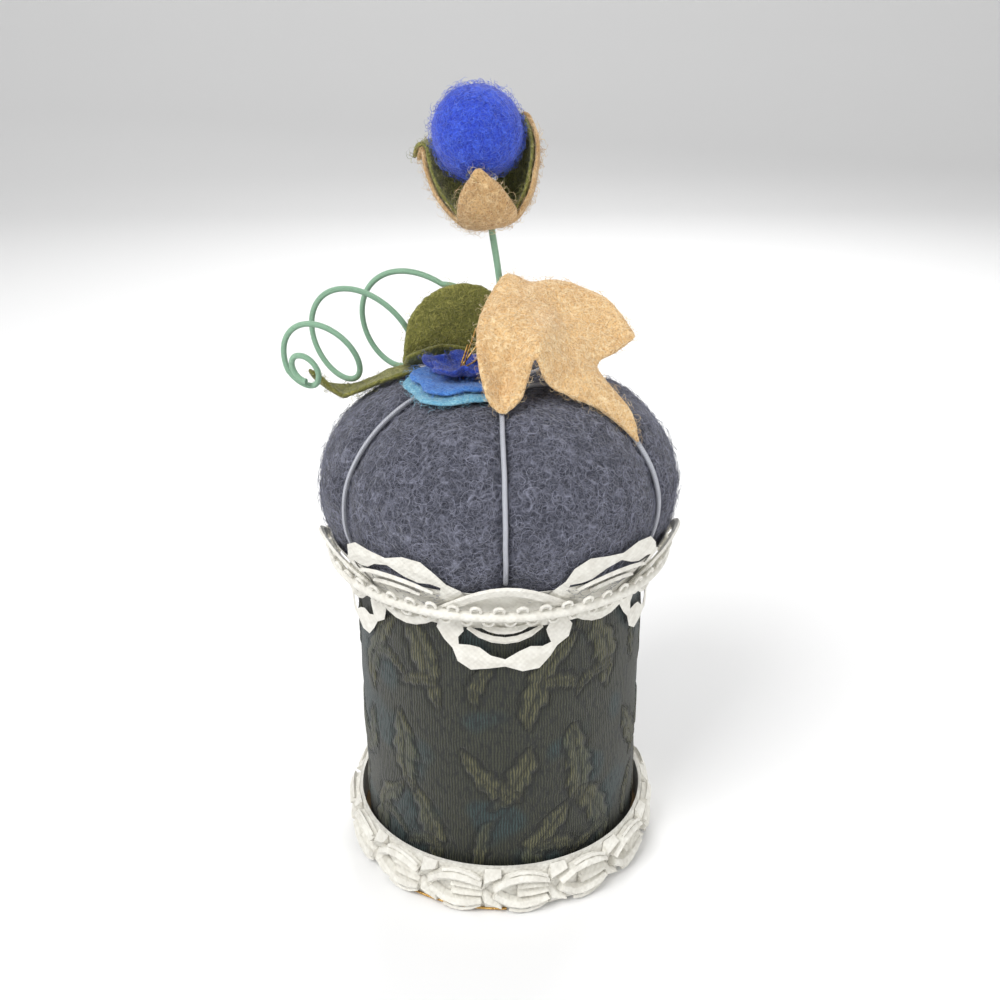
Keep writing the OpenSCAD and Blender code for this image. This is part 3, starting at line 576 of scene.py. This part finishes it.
def cushion_point(a, lift, inset=0.0):
    a, lift = np.broadcast_arrays(np.asarray(a, float), np.asarray(lift, float))
    up = np.sin(np.radians(lift))
    full = np.cos(np.radians(lift)) * (CUSHION_R - inset)
    r = np.maximum(full - CREASE_DEPTH * np.exp(-(off_crease(a) / CREASE_SPREAD) ** 1.3)
                   * np.minimum(1, full / 12), 0.4)
    groove = (2 * THREAD_R + 0.2) * np.exp(-(np.radians(off_crease(a)) * full / (3 * THREAD_R)) ** 1.3)
    sunk = np.where(lift > 0, dimple(full) + groove * up ** 2, 0)
    return polar(a, r, CUSHION_Z + up * (CUSHION_HALF - inset) - sunk)


def cushion_height(x, y):
    r = np.hypot(x, y)
    return CUSHION_Z + CUSHION_HALF * np.sqrt(1 - (r / CUSHION_R) ** 2) - dimple(r)


# ---------------------------------------------------------------- cushion

def smooth(x):
    x = np.clip(x, 0, 1)
    return x * x * (3 - 2 * x)


def cushion_grid():
    """Turns close to the creases and lifts from the neck to the middle of the dimple."""
    near = [0, 0.6, 1.3, 2.2, 3.4, 5, 7.2, 10, 13.5, 17.5, 21.6, 25.8]
    offs = np.array(near + [30] + [60 - o for o in near[:0:-1]])
    turns = (CREASES[:, None] + offs[None]).ravel()
    lifts = np.linspace(FOOT_ANGLE, 88, 44)
    return turns, lifts


def puffed(obj, held, cap):
    """Blows the cushion up like stuffed cloth, held at its seams, and caps how far a point moves."""
    group = obj.vertex_groups.new(name="held")
    for index, weight in enumerate(held):
        if weight > 0.01:
            group.add([index], float(weight), "REPLACE")
    rest = np.array([v.co for v in obj.data.vertices])
    cloth = obj.modifiers.new("puff", "CLOTH")
    cloth.settings.quality = 6
    cloth.settings.mass = 0.2
    cloth.settings.use_pressure = True
    cloth.settings.uniform_pressure_force = 4
    cloth.settings.vertex_group_mass = "held"
    cloth.settings.effector_weights.gravity = 0
    for number in range(1, 21):
        scene.frame_set(number)
    evaluated = obj.evaluated_get(bpy.context.evaluated_depsgraph_get())
    moved = np.array([v.co for v in evaluated.data.vertices]) - rest
    obj.modifiers.remove(cloth)
    scene.frame_set(1)
    far = np.linalg.norm(moved, axis=1, keepdims=True)
    moved *= np.minimum(1, cap * MM / np.maximum(far, 1e-9))
    obj.data.vertices.foreach_set("co", (rest + moved).astype(np.float32).ravel())
    obj.data.update()


def make_cushion():
    turns, lifts = cushion_grid()
    inset = 0.7 * smooth((lifts - FOOT_ANGLE - 14) / 18)[:, None]
    grid = cushion_point(turns[None], lifts[:, None], inset)
    under = [grid[0] * [s, s, 1] for s in (0.2, 0.6, 0.93)]
    rows = np.concatenate([np.array(under), grid])
    count, cols = rows.shape[0] * rows.shape[1], rows.shape[1]
    points = np.concatenate([rows.reshape(-1, 3), [[0, 0, DRUM_TOP + 0.3], [0, 0, grid[-1, :, 2].mean()]]])
    faces = grid_faces(len(rows), cols, ring=True)
    faces += [[count, (j + 1) % cols, j] for j in range(cols)]
    faces += [[count + 1, count - cols + j, count - cols + (j + 1) % cols] for j in range(cols)]
    obj = piece("cushion_puffed", (points, faces), FELT_CHARCOAL)
    seam = np.exp(-(off_crease(turns) / 3.0) ** 2)[None]
    foot = 1 - smooth((lifts - FOOT_ANGLE - 8) / 18)[:, None]
    middle = smooth((lifts - 62) / 16)[:, None]
    held = np.maximum(np.maximum(seam, foot), middle)
    held = np.concatenate([np.ones(3 * cols), held.ravel(), [1, 1]])
    puffed(obj, held, 1.3)
    subdivision = obj.modifiers.new("soften", "SUBSURF")
    subdivision.levels = subdivision.render_levels = 1
    obj = plain(obj, "cushion_felt")
    co = np.array([v.co for v in obj.data.vertices]) / MM
    normal = np.array([v.normal for v in obj.data.vertices])
    turn = np.degrees(np.arctan2(co[:, 0], -co[:, 1]))
    near = np.exp(-(off_crease(turn) / 9) ** 2)
    body = smooth((co[:, 2] - DRUM_TOP - 6) / 10)
    tucks = near * 0.4 * lumps(co * [0.5, 0.5, 1.6], 3.0, 8)
    move = body * (lumps(co, 11, 3) * 0.55 + lumps(co, 4, 4) * 0.22 + lumps(co, 1.6, 5) * 0.1 + tucks)
    obj.data.vertices.foreach_set("co", ((co + normal * move[:, None]) * MM).astype(np.float32).ravel())
    obj.data.update()
    settle(obj, "charcoal_felt", "cushion_cover", "cushion_stuffing")
    return obj


cushion = make_cushion()
WOOL_CHARCOAL = fibre("charcoal_wool", colour(60, 62, 76), colour(150, 152, 170))
long_hairs = hair_kit("long_hairs", 14, 5.0, 0.75, 0.55, 0.042, 11)
for number in range(3):
    hairs = hairs_on(f"cushion_wool_{number + 1}", cushion, long_hairs, 32, WOOL_CHARCOAL, 40 + number)
    settle(hairs, "charcoal_felt")


def make_crease_threads():
    shapes = []
    for a in CREASES:
        lifts = np.linspace(FOOT_ANGLE + 16, 84, 60)
        path = cushion_point(a, lifts, -THREAD_R - 0.15)
        end = polar(a, 1.95, CUSHION_Z + CUSHION_HALF - DIMPLE_DEPTH + 0.8)
        path = np.concatenate([path, end[None]])
        path += 0.12 * np.stack([lumps(path, 6, k) for k in (1, 2, 3)], -1)
        shapes.append(tube(path, THREAD_R * 0.85, 10, polar(a + 90, 1, 0)))
    settle(piece("crease_threads_silk", merged(shapes), THREAD_GREY), "grey_thread", "crease_threads")


make_crease_threads()

# ---------------------------------------------------------------- drum

def brocade_relief(u, v):
    """Height of the woven leaves, 0 to 1, and how near a point is to a sunk outline; u and v in mm."""
    high, line = np.zeros_like(u), np.zeros_like(u)
    wide, tall = 2 * math.pi * DRUM_R / 5, 46.0
    # [across, up, heading, length, width, bend] of each leaf in the repeat
    leaves = [(8, 4, 70, 26, 8.5, 0.5), (30, 8, 118, 25, 8, -0.5), (20, 26, 92, 24, 9, 0.25), (40, 28, 60, 21, 7, -0.6),
              (4, 30, 130, 20, 7, 0.6), (19, 10, 20, 13, 4.5, 0.8), (21, 12, 160, 13, 4.5, -0.8), (40, 10, 80, 16, 5, 0.5)]
    for x0, y0, heading, length, width, bend in leaves:
        for dx in (-1, 0, 1):
            for dy in (-1, 0, 1):
                x = np.mod(u, wide) - x0 + dx * wide
                y = np.mod(v, tall) - y0 + dy * tall
                h = math.radians(heading)
                s = (x * math.cos(h) + y * math.sin(h)) / length
                d = (-x * math.sin(h) + y * math.cos(h)) - bend * length * (s - s * s) * 0.8
                half = width * 0.5 * np.sqrt(np.clip(np.sin(np.pi * np.clip(s, 0, 1)), 0, 1)) \
                    * (1 - 0.28 * np.abs(np.sin(np.pi * 4.5 * (s + 0.045 * np.abs(d)))) ** 2)
                inside = half - np.abs(d)
                on = (s > 0) & (s < 1)
                high = np.where(on & (inside > 0), np.maximum(high, np.clip(inside / 1.2, 0, 1)), high)
                edge = np.exp(-(inside / 0.55) ** 2) * on
                rib = np.exp(-(d / 0.4) ** 2) * on * (inside > 0) * 0.8
                line = np.maximum(line, np.maximum(edge, rib))
    return high, line


def make_brocade():
    cols, rows = 400, 132
    zs = np.linspace(BASE_TOP, DRUM_TOP, rows)
    turns = np.linspace(0, 360, cols, endpoint=False)
    a, z = np.meshgrid(turns, zs)
    u = np.radians(a) * DRUM_R
    bent_u = u + 1.2 * np.sin(z / 7) + 0.6 * np.sin(z / 2.7 + u / 5)
    bent_v = z + 1.0 * np.sin(u / 6.5) + 0.5 * np.sin(u / 2.3 + z / 4)
    high, line = brocade_relief(bent_u, bent_v)
    r = DRUM_R - 0.25 + 0.3 * high - 0.3 * line
    base = polar(a, r, z)
    r = r + 0.18 * lumps(base, 7, 2)
    outer = polar(a, r, z)
    inner = polar(a, DRUM_R - 0.75, z)
    points = np.concatenate([outer.reshape(-1, 3), inner[[0, -1]].reshape(-1, 3)])
    count = rows * cols
    faces = grid_faces(rows, cols, ring=True)
    for j in range(cols):
        k = (j + 1) % cols
        faces.append([count + j, count + k, k, j])
        faces.append([count - cols + j, count - cols + k, count + cols + k, count + cols + j])
        faces.append([count + j, count + cols + j, count + cols + k, count + k])
    lay = np.stack([u, z], -1).reshape(-1, 2)
    lay = np.concatenate([lay, lay[:cols], lay[-cols:]])
    obj = piece("brocade_cloth", (points, faces, lay), make_brocade_finish())
    # The sunk field carries the grooves to the finish, which paints shade into them.
    for name, field in (("leaf", high), ("sunk", line)):
        values = np.concatenate([field.ravel(), field[0], field[-1]]).astype(np.float32)
        obj.data.attributes.new(name, "FLOAT", "POINT").data.foreach_set("value", values)
    settle(obj, "brocade", "brocade_sleeve")


def make_brocade_finish():
    """Upright broken ribs, olive on the leaves and near black green between them, with teal here and there; the sunk
    outlines are real grooves, painted darker still as shade.
    """
    f = Finish("brocade", 0.62, sheen=0.12)
    x, y, z = f.parts()
    turn = x.maths("ARCTAN2", y * -1) * DRUM_R
    wobble = f.noise(0.35, 2.0) * 0.9
    rib = ((turn + wobble) * (6.283 / 0.68)).maths("SINE") * 0.5 + 0.5
    breaks = f.noise(1.2, 2.0, scale=(1, 1, 0.35))
    rib = (rib * breaks.band(0.3, 0.55)).clip()
    weft = (z * (6.283 / 0.42)).maths("SINE") * 0.5 + 0.5
    leaf = f.add("ShaderNodeAttribute", attribute_name="leaf", out=2)
    sunk = f.add("ShaderNodeAttribute", attribute_name="sunk", out=2)
    teal = f.noise(0.06, 1.0, (3, 1, 2)).band(0.52, 0.62) * (1 - leaf * 0.6)
    ground = f.mix(rib, colour(14, 18, 15), colour(56, 58, 42))
    leaf_tone = f.mix(rib, colour(26, 30, 22), colour(98, 96, 66))
    tone = f.mix(leaf, ground, leaf_tone)
    tone = f.mix(teal * 0.5, tone, f.mix(rib, colour(12, 26, 28), colour(36, 74, 82)))
    # painted shade: the sunk outlines and midribs are mixed towards near black, as shade in their grooves.
    tone = f.mix(sunk * 0.75, tone, colour(8, 10, 9))
    return f.paint(tone, rib + weft * 0.15 - sunk * 0.8, 0.22)


make_brocade()


def make_base_pad():
    rows, cols = 12, 96
    grid = polar(np.linspace(0, 360, cols, endpoint=False)[None], np.linspace(0.4, 36.1, rows)[:, None], 0.62)
    obj = piece("base_felt", felt_shape(grid, 1.15, ring=True, ragged=0.1, swell=0.02), FELT_BLACK)
    settle(obj, "black_felt", "base_pad")


make_base_pad()

# ---------------------------------------------------------------- felt flower and leaves

short_hairs = hair_kit("short_hairs", 12, 2.6, 0.6, 0.7, 0.03, 23)
PETAL_T = 1.2
FLOWER_AT = (-8.0, -8.6)
LAYER = PETAL_T + 0.12


def petal_grid(reach, rise, cup, notch, rows=16, cols=180):
    a = np.linspace(0, 360, cols, endpoint=False)[None]
    t = np.linspace(0.03, 1, rows)[:, None]
    edge = reach * (1 - notch * t * np.abs(np.sin(np.radians(5 * (a - 240) / 2))) ** 3)
    d = t * edge
    x, y = FLOWER_AT[0] + d * np.cos(np.radians(a)), FLOWER_AT[1] + d * np.sin(np.radians(a))
    centre = cushion_height(*FLOWER_AT)
    fold = cup * 0.14 * np.cos(np.radians(10 * (a - 240))) * t ** 2
    z = np.maximum(cushion_height(x, y), centre) + rise + cup * t ** 2.2 + fold
    return np.stack([x, y, z], -1)


def area_of(grid):
    """Area of a grid's middle surface, in square metres."""
    a = grid[1:, :-1] - grid[:-1, :-1]
    b = grid[:-1, 1:] - grid[:-1, :-1]
    return float(np.linalg.norm(np.cross(a, b), axis=-1).sum()) * MM * MM


def felt_piece(name, grid, material, wool, slot, node, flat, seed, ring=False, ragged=0.25, fuzz=70,
               swell=0.16):
    """A cut of felt with its loose hairs."""
    obj = piece(name, felt_shape(grid, PETAL_T, ring, ragged, swell, seed=seed), material, level=1)
    settle(obj, slot, node)
    min(area_of(grid), 0.98 * flat[0] * flat[1])
    settle(hairs_on(name + "_wool", obj, short_hairs, fuzz, wool, seed, tilt=0.8), slot)
    return obj


WOOL_AQUA = fibre("aqua_wool", colour(96, 160, 196), colour(176, 222, 232))
WOOL_BLUE = fibre("blue_wool", colour(50, 106, 190), colour(120, 172, 232))
WOOL_NAVY = fibre("navy_wool", colour(20, 44, 130), colour(66, 100, 206))
WOOL_GREEN = fibre("green_wool", colour(96, 98, 40), colour(178, 174, 100))
WOOL_TAN = fibre("tan_wool", colour(206, 168, 112), colour(250, 232, 196))
WOOL_BUD = fibre("bud_wool", colour(30, 54, 170), colour(92, 128, 240))

felt_piece("aqua_petals", petal_grid(13.2, 0.3 + PETAL_T / 2, 0, 0.13), FELT_AQUA, WOOL_AQUA, "aqua_felt",
           "flower_aqua_petals", (0.028, 0.028), 3, ring=True)
felt_piece("blue_petals", petal_grid(11.6, 0.3 + PETAL_T / 2 + LAYER, 0.5, 0.15), FELT_BLUE, WOOL_BLUE, "blue_felt",
           "flower_blue_petals", (0.025, 0.025), 13, ring=True)
felt_piece("navy_petals", petal_grid(8.8, 0.7 + PETAL_T / 2 + 2 * LAYER, 2.4, 0.28), FELT_NAVY, WOOL_NAVY,
           "navy_felt", "flower_navy_petals", (0.019, 0.019), 23, ring=True)

UPRIGHT_NET = [
    [[-20.4, -3.4, 0.8], [-17, -2.2, 2], [-11.8, 2.6, 2], [-3.8, 5.6, -0.4]],
    [[-21.6, 1, -1.8], [-17, 4.6, -2.4], [-10.5, 6.8, -3.4], [-2.4, 8, -4]],
    [[-21.2, 2, 2.6], [-15.4, 4.2, 2.6], [-9.4, 6.4, 2.6], [-1.8, 7.6, 2.6]],
    [[-20, 3.6, 8], [-14.4, 5.2, 8.4], [-8.4, 6.6, 8.8], [-1.2, 7.2, 8.8]],
    [[-16.4, 5.4, 12.4], [-12, 6.2, 14.4], [-6.8, 6.6, 15.2], [-1.4, 7, 13.4]]]
TAN_NET = [
    [[3.6, 5.4, -3.4], [5, 6, -3.8], [7, 6.6, -3.6], [9.4, 7, -2.4], [12.4, 7, -0.2], [16, 6, 1.8], [20.5, 3.5, 2.6]],
    [[3.8, 4.8, 8.2], [6, 5.6, 7.6], [8.6, 6.4, 6.8], [12, 7, 7.8], [16.4, 6.8, 8], [21.4, 5, 7.2], [26.6, 1, 4.8]],
    [[2.2, 0, 18.6], [4.2, 1, 17.8], [7.8, 3, 15.8], [12.4, 4, 16.2], [18.6, 3.6, 14.8], [25.2, 1, 11.8],
     [30.4, -4, 5.6]],
    [[-2.3, -6, 14.2], [1.2, -9, 13.6], [5.3, -8, 13.8], [10.5, -4.4, 12.4], [16, -4, 9.8], [22, -4.4, 7.2],
     [26.8, -6, 3]],
    [[-4.4, -14, 9.4], [0.5, -16, 7.4], [5.2, -15, 9.2], [9.5, -14, 10.4], [14.3, -10, 6.6], [18.7, -10, 3.8],
     [21.6, -10.4, 0.2]],
    [[-3.8, -20, 3.7], [1.1, -18, -0.8], [5.3, -20, 4], [8.5, -18.6, 7.6], [13.4, -16, 2.8], [21.3, -15.4, -2.9],
     [28.9, -14.6, -8.2]],
    [[-2.4, -22.9, -2.2], [0.8, -23.6, -5.4], [5.1, -22, -2.2], [7.8, -20.4, 5.6], [11.5, -20, -0.8],
     [22.1, -17.2, -7.1], [30.8, -17.7, -14.4]]]
LYING_LINE = [[-18.4, 3, -3.4], [-21.6, 2.2, -4.2], [-26, 2.2, -5.6], [-31, 3.2, -8], [-36, 4.2, -9.8],
              [-40, 3, -7.8], [-42.8, 0.4, -3.6]]
LYING_HALF = [[2], [3], [3.9], [4.4], [4], [2.6], [0.7]]

upright = patch(UPRIGHT_NET, 12) + [0, 0, CROWN]
felt_piece("green_leaf_upright_felt", upright, FELT_GREEN, WOOL_GREEN, "green_felt", "green_leaf_upright",
           (0.021, 0.030), 31)
tan = patch(TAN_NET, 9) + [0, 0, CROWN]
felt_piece("tan_leaf_felt", tan, FELT_TAN, WOOL_TAN, "tan_felt", "tan_leaf",
           (0.048, 0.062), 41, fuzz=90)


def lying_grid():
    line, half = spline(LYING_LINE, 9), spline(LYING_HALF, 9)[:, 0]
    across = unit(np.cross(np.gradient(line, axis=0), [0, 0, 1]))
    k = np.linspace(-1, 1, 17)
    grid = line[:, None] + across[:, None] * (half[:, None] * k)[..., None]
    grid[..., 2] += CROWN + 0.5 * k ** 2
    return grid


felt_piece("green_leaf_lying_felt", lying_grid(), FELT_GREEN, WOOL_GREEN, "green_felt", "green_leaf_lying",
           (0.0105, 0.031), 51)

# ---------------------------------------------------------------- bud

BALL_R, BALL_UP, BUD_LEAN, CALYX_T = 10.0, 20.4, 8.2, 1.0
CALYX_AT = np.array([-1.2, 2, CROWN + 28.7])


def on_bud(points):
    """Points of the bud's own frame, leant with the stem."""
    lean = math.radians(-BUD_LEAN)
    turn = np.array([[math.cos(lean), 0, math.sin(lean)], [0, 1, 0], [-math.sin(lean), 0, math.cos(lean)]])
    return np.asarray(points) @ turn.T + CALYX_AT


def make_ball():
    rows, cols = 48, 96
    lift = np.linspace(-88, 88, rows)[:, None]
    turn = np.linspace(0, 360, cols, endpoint=False)[None]
    grid = polar(turn, BALL_R * np.cos(np.radians(lift)), 0) + [0, 0, BALL_UP]
    grid[..., 2] += BALL_R * np.sin(np.radians(lift))
    points = np.concatenate([grid.reshape(-1, 3), [[0, 0, BALL_UP - BALL_R], [0, 0, BALL_UP + BALL_R]]])
    out = unit(points - [0, 0, BALL_UP])
    points += out * (lumps(points, 6, 61) * 0.35 + lumps(points, 1.8, 62) * 0.14 - 0.15)[:, None]
    count = rows * cols
    faces = grid_faces(rows, cols, ring=True)
    faces += [[count, (j + 1) % cols, j] for j in range(cols)]
    faces += [[count + 1, count - cols + j, count - cols + (j + 1) % cols] for j in range(cols)]
    obj = piece("bud_felt_ball", (on_bud(points), faces), FELT_BUD, level=1)
    settle(obj, "bud_felt", "bud_ball")
    settle(hairs_on("bud_wool_hairs", obj, short_hairs, 150, WOOL_BUD, 63, tilt=0.9), "bud_felt")


make_ball()

FRONT_SEPAL = [[1.6, 0.6, 61], [5.2, 1.2, 60], [7.5, 3.2, 57], [9, 6.2, 40], [9.9, 10.2, 24], [9.9, 14.2, 3]]
RIGHT_SEPAL = [[1.6, 0.6, 61], [5.2, 1.2, 60], [7.6, 3.2, 58], [10.6, 8, 50], [12.4, 15.6, 36], [12, 22.4, 4]]
LEFT_SEPAL = [[1.6, 0.6, 61], [5.2, 1.2, 60], [7.6, 3.2, 58], [10.4, 8, 44], [12.2, 14, 26], [13.2, 18.4, 12],
              [15.6, 15.8, 4]]


def sepal_grid(middle, stations, inward):
    s = spline(stations, 7)
    way = unit(np.gradient(s[:, :2], axis=0))
    k = np.linspace(-1, 1, 25)[None]
    r = (s[:, 0] - way[:, 1] * inward)[:, None]
    z = (s[:, 1] + way[:, 0] * inward)[:, None]
    return on_bud(polar(middle + s[:, 2:3] * k, r, z))


def make_calyx(name, material, wool, slot, node, inward, seed):
    grids = [sepal_grid(a, stations, inward)
             for a, stations in ((-4, FRONT_SEPAL), (116, RIGHT_SEPAL), (240, LEFT_SEPAL))]
    shapes = [felt_shape(grid, CALYX_T, ragged=0.2, swell=0.12, seed=seed + k) for k, grid in enumerate(grids)]
    obj = piece(name, merged(shapes)[:2], material, level=1)
    settle(obj, slot, node)
    sum(area_of(g) for g in grids)
    settle(hairs_on(name + "_wool", obj, short_hairs, 90, wool, seed, tilt=0.8), slot)


# The outer calyx is the tan felt painted darker, with darker wool, as painted shade under the ball.
make_calyx("calyx_outer_felt", FELT_TAN_SHADED, fibre("calyx_wool", colour(178, 140, 92), colour(236, 214, 172)),
           "tan_felt", "calyx_outer", 0, 71)
make_calyx("calyx_inner_felt", FELT_GREEN, WOOL_GREEN, "green_felt", "calyx_inner", CALYX_T + 0.12,
           81)

# ---------------------------------------------------------------- wires

STEM_R, TENDRIL_R, WIRE_DEPTH = 0.7, 0.62, 9.0


def bud_axis(h):
    lean = math.radians(BUD_LEAN)
    return CALYX_AT + h * np.array([-math.sin(lean), 0, math.cos(lean)])


def stem_path():
    foot = np.array([1.7, 3.4])
    low = cushion_height(*foot) - WIRE_DEPTH + 1
    knots = [[*foot, low], [*foot, low + WIRE_DEPTH], [1.3, 3, CROWN + 6.2], [0.4, 2.2, CROWN + 17.6],
             bud_axis(-1.6), bud_axis(3), bud_axis(17.4)]
    return spline(knots, 12)


def helix_at(turn):
    bend = np.array([[-17.5, 15.8, CROWN + 5.4], [-37.3, 13, CROWN + 3.7], [-43.8, -1.4, CROWN - 1.3]])
    s = np.minimum(turn / 2.42, 1)[:, None]
    axis = (1 - s) ** 2 * bend[0] + 2 * s * (1 - s) * bend[1] + s ** 2 * bend[2]
    axis = axis + np.maximum(turn - 2.42, 0)[:, None] * np.array([-0.5, -1.7, -0.6])
    h, d = math.radians(236), math.radians(16.3)
    along = np.array([math.cos(h) * math.cos(d), math.sin(h) * math.cos(d), -math.sin(d)])
    side = unit(np.cross(along, [0, 0, 1]))
    rise = np.cross(side, along)
    radius = np.interp(turn, [0, 0.6, 1.2, 1.9, 2.42, 2.75, 3.1, 3.8], [12.1, 11.7, 11.04, 9.1, 6.8, 4.3, 3.3, 2.7])
    a = np.radians(321.6 + 360 * turn)[:, None]
    return axis + radius[:, None] * (np.cos(a) * rise + np.sin(a) * side)


def tendril_path():
    foot = np.array([-2.2, 10.2])
    low = cushion_height(*foot) - WIRE_DEPTH + 1
    helix = helix_at(np.linspace(0, 3.625, 260))
    rise = spline([[*foot, low], [*foot, low + WIRE_DEPTH], [-3, 11, CROWN + 3.2], [-7, 11, CROWN + 11], helix[0],
                   helix[20]], 10)[:-10]
    return np.concatenate([rise[:-1], helix])


def line_object(name, path, out, size=(1, 1, 1), closed=False):
    """A path for the row tree, with the directions and sizes of what stands on it."""
    count = len(path)
    edges = [[i, i + 1] for i in range(count - 1)] + ([[count - 1, 0]] if closed else [])
    mesh = bpy.data.meshes.new(name)
    mesh.from_pydata((np.asarray(path) * MM).tolist(), edges, [])
    for key, value in (("out", out), ("size", size)):
        field = np.broadcast_to(np.asarray(value, float), (count, 3)).astype(np.float32)
        mesh.attributes.new(key, "FLOAT_VECTOR", "POINT").data.foreach_set("vector", field.ravel())
    obj = bpy.data.objects.new(name, mesh)
    scene.collection.objects.link(obj)
    return obj


def pattern_object(name, shape):
    """One copy that a tree repeats; it is taken out of the scene when all are made."""
    obj = piece(name, shape, SAGE)
    PATTERNS.append(obj)
    return obj


def length_of(path, closed=False):
    ends = np.concatenate([path, path[:1]]) if closed else path
    return float(np.linalg.norm(np.diff(ends, axis=0), axis=1).sum())


def row_of(name, path, item, pitch, material, out=(0, 0, 1), sway=0.0, seed=1, size=(1, 1, 1), closed=False):
    count = max(2, round(length_of(path, closed) / pitch))
    base = line_object(name + "_path", path, out, size, closed)
    return grown(name, base, ROW, keep=False, count=count, sway=sway, seed=seed, item=item, material=material)


PATTERNS = []


def make_wound_wire(name, path, radius, node, slot="sage_thread"):
    """Wire wound with thread: a core, and one tilted ring for each turn of the thread."""
    turn = np.linspace(0, 2 * np.pi, 12, endpoint=False)
    ring = np.stack([0.22 * np.sin(turn) * radius, radius * 0.86 * np.cos(turn), radius * 0.86 * np.sin(turn)], -1)
    item = pattern_object(name + "_turn", tube(ring, 0.17, 6, (1, 0, 0), closed=True))
    _, ups = frames(path, (0, 1, 0.1))
    turns = row_of(name + "_turns", path, item, 0.3, SAGE, out=ups, sway=0.05)
    core = piece(name + "_core", tube(path, radius * 0.86, 10), SAGE)
    settle(core, slot, node)
    settle(turns, slot)


make_wound_wire("stem", stem_path(), STEM_R, "stem_wrap")
make_wound_wire("tendril", tendril_path(), TENDRIL_R, "tendril_wrap")


def set_stage():
    """Plain pale floor that turns up into a backdrop far behind, and a white world."""
    white = bpy.data.materials.new("floor")
    white.use_nodes = True
    white.node_tree.nodes["Principled BSDF"].inputs["Base Color"].default_value = (0.86, 0.86, 0.86, 1)
    white.node_tree.nodes["Principled BSDF"].inputs["Roughness"].default_value = 0.9
    floor = bpy.data.meshes.new("floor")
    profile = [(-1.5, -0.0002), (0.9, -0.0002)] + [
        (0.9 + 0.5 * math.sin(t), 0.5 - 0.5002 * math.cos(t)) for t in np.radians([15, 30, 45, 60, 75, 90])] + [(1.4, 2.5)]
    points = [(x, y, z) for y, z in profile for x in (-2.5, 2.5)]
    floor.from_pydata(points, [], [[2 * i, 2 * i + 1, 2 * i + 3, 2 * i + 2] for i in range(len(profile) - 1)])
    floor.materials.append(white)
    floor.shade_smooth()
    stage = bpy.data.objects.new("floor", floor)
    scene.collection.objects.link(stage)
    world = bpy.data.worlds.new("studio")
    world.use_nodes = True
    scene.world = world
    tree = Tree(world.node_tree)
    ray = tree.add("ShaderNodeLightPath")
    seen = ray.maths("MAXIMUM", tree.other(ray, "Is Glossy Ray"))
    seen = seen.maths("MAXIMUM", tree.other(ray, "Is Transmission Ray"))
    sky = world.node_tree.nodes["Background"]
    tree.feed(sky.inputs["Color"], (1, 1, 1, 1))
    tree.feed(sky.inputs["Strength"], seen * 0.5 + 0.5)


set_stage()

CAD_FINISH = {
    "base_disc": CARD, "core_tube": CARD, "tube_lid": CARD, "ballast": GRIT, "tube_packing": WADDING,
    "centre_tie": THREAD_GREY, "stem_wire": STEEL, "tendril_wire": STEEL, "foot_gold_edge": GOLD,
    "flower_stamens": GOLD}
for name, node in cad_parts.items():
    if not node.hide_render:
        node.data.materials.clear()
        node.data.materials.append(CAD_FINISH.get(name, WADDING))

for pattern in PATTERNS:
    bpy.data.objects.remove(pattern)
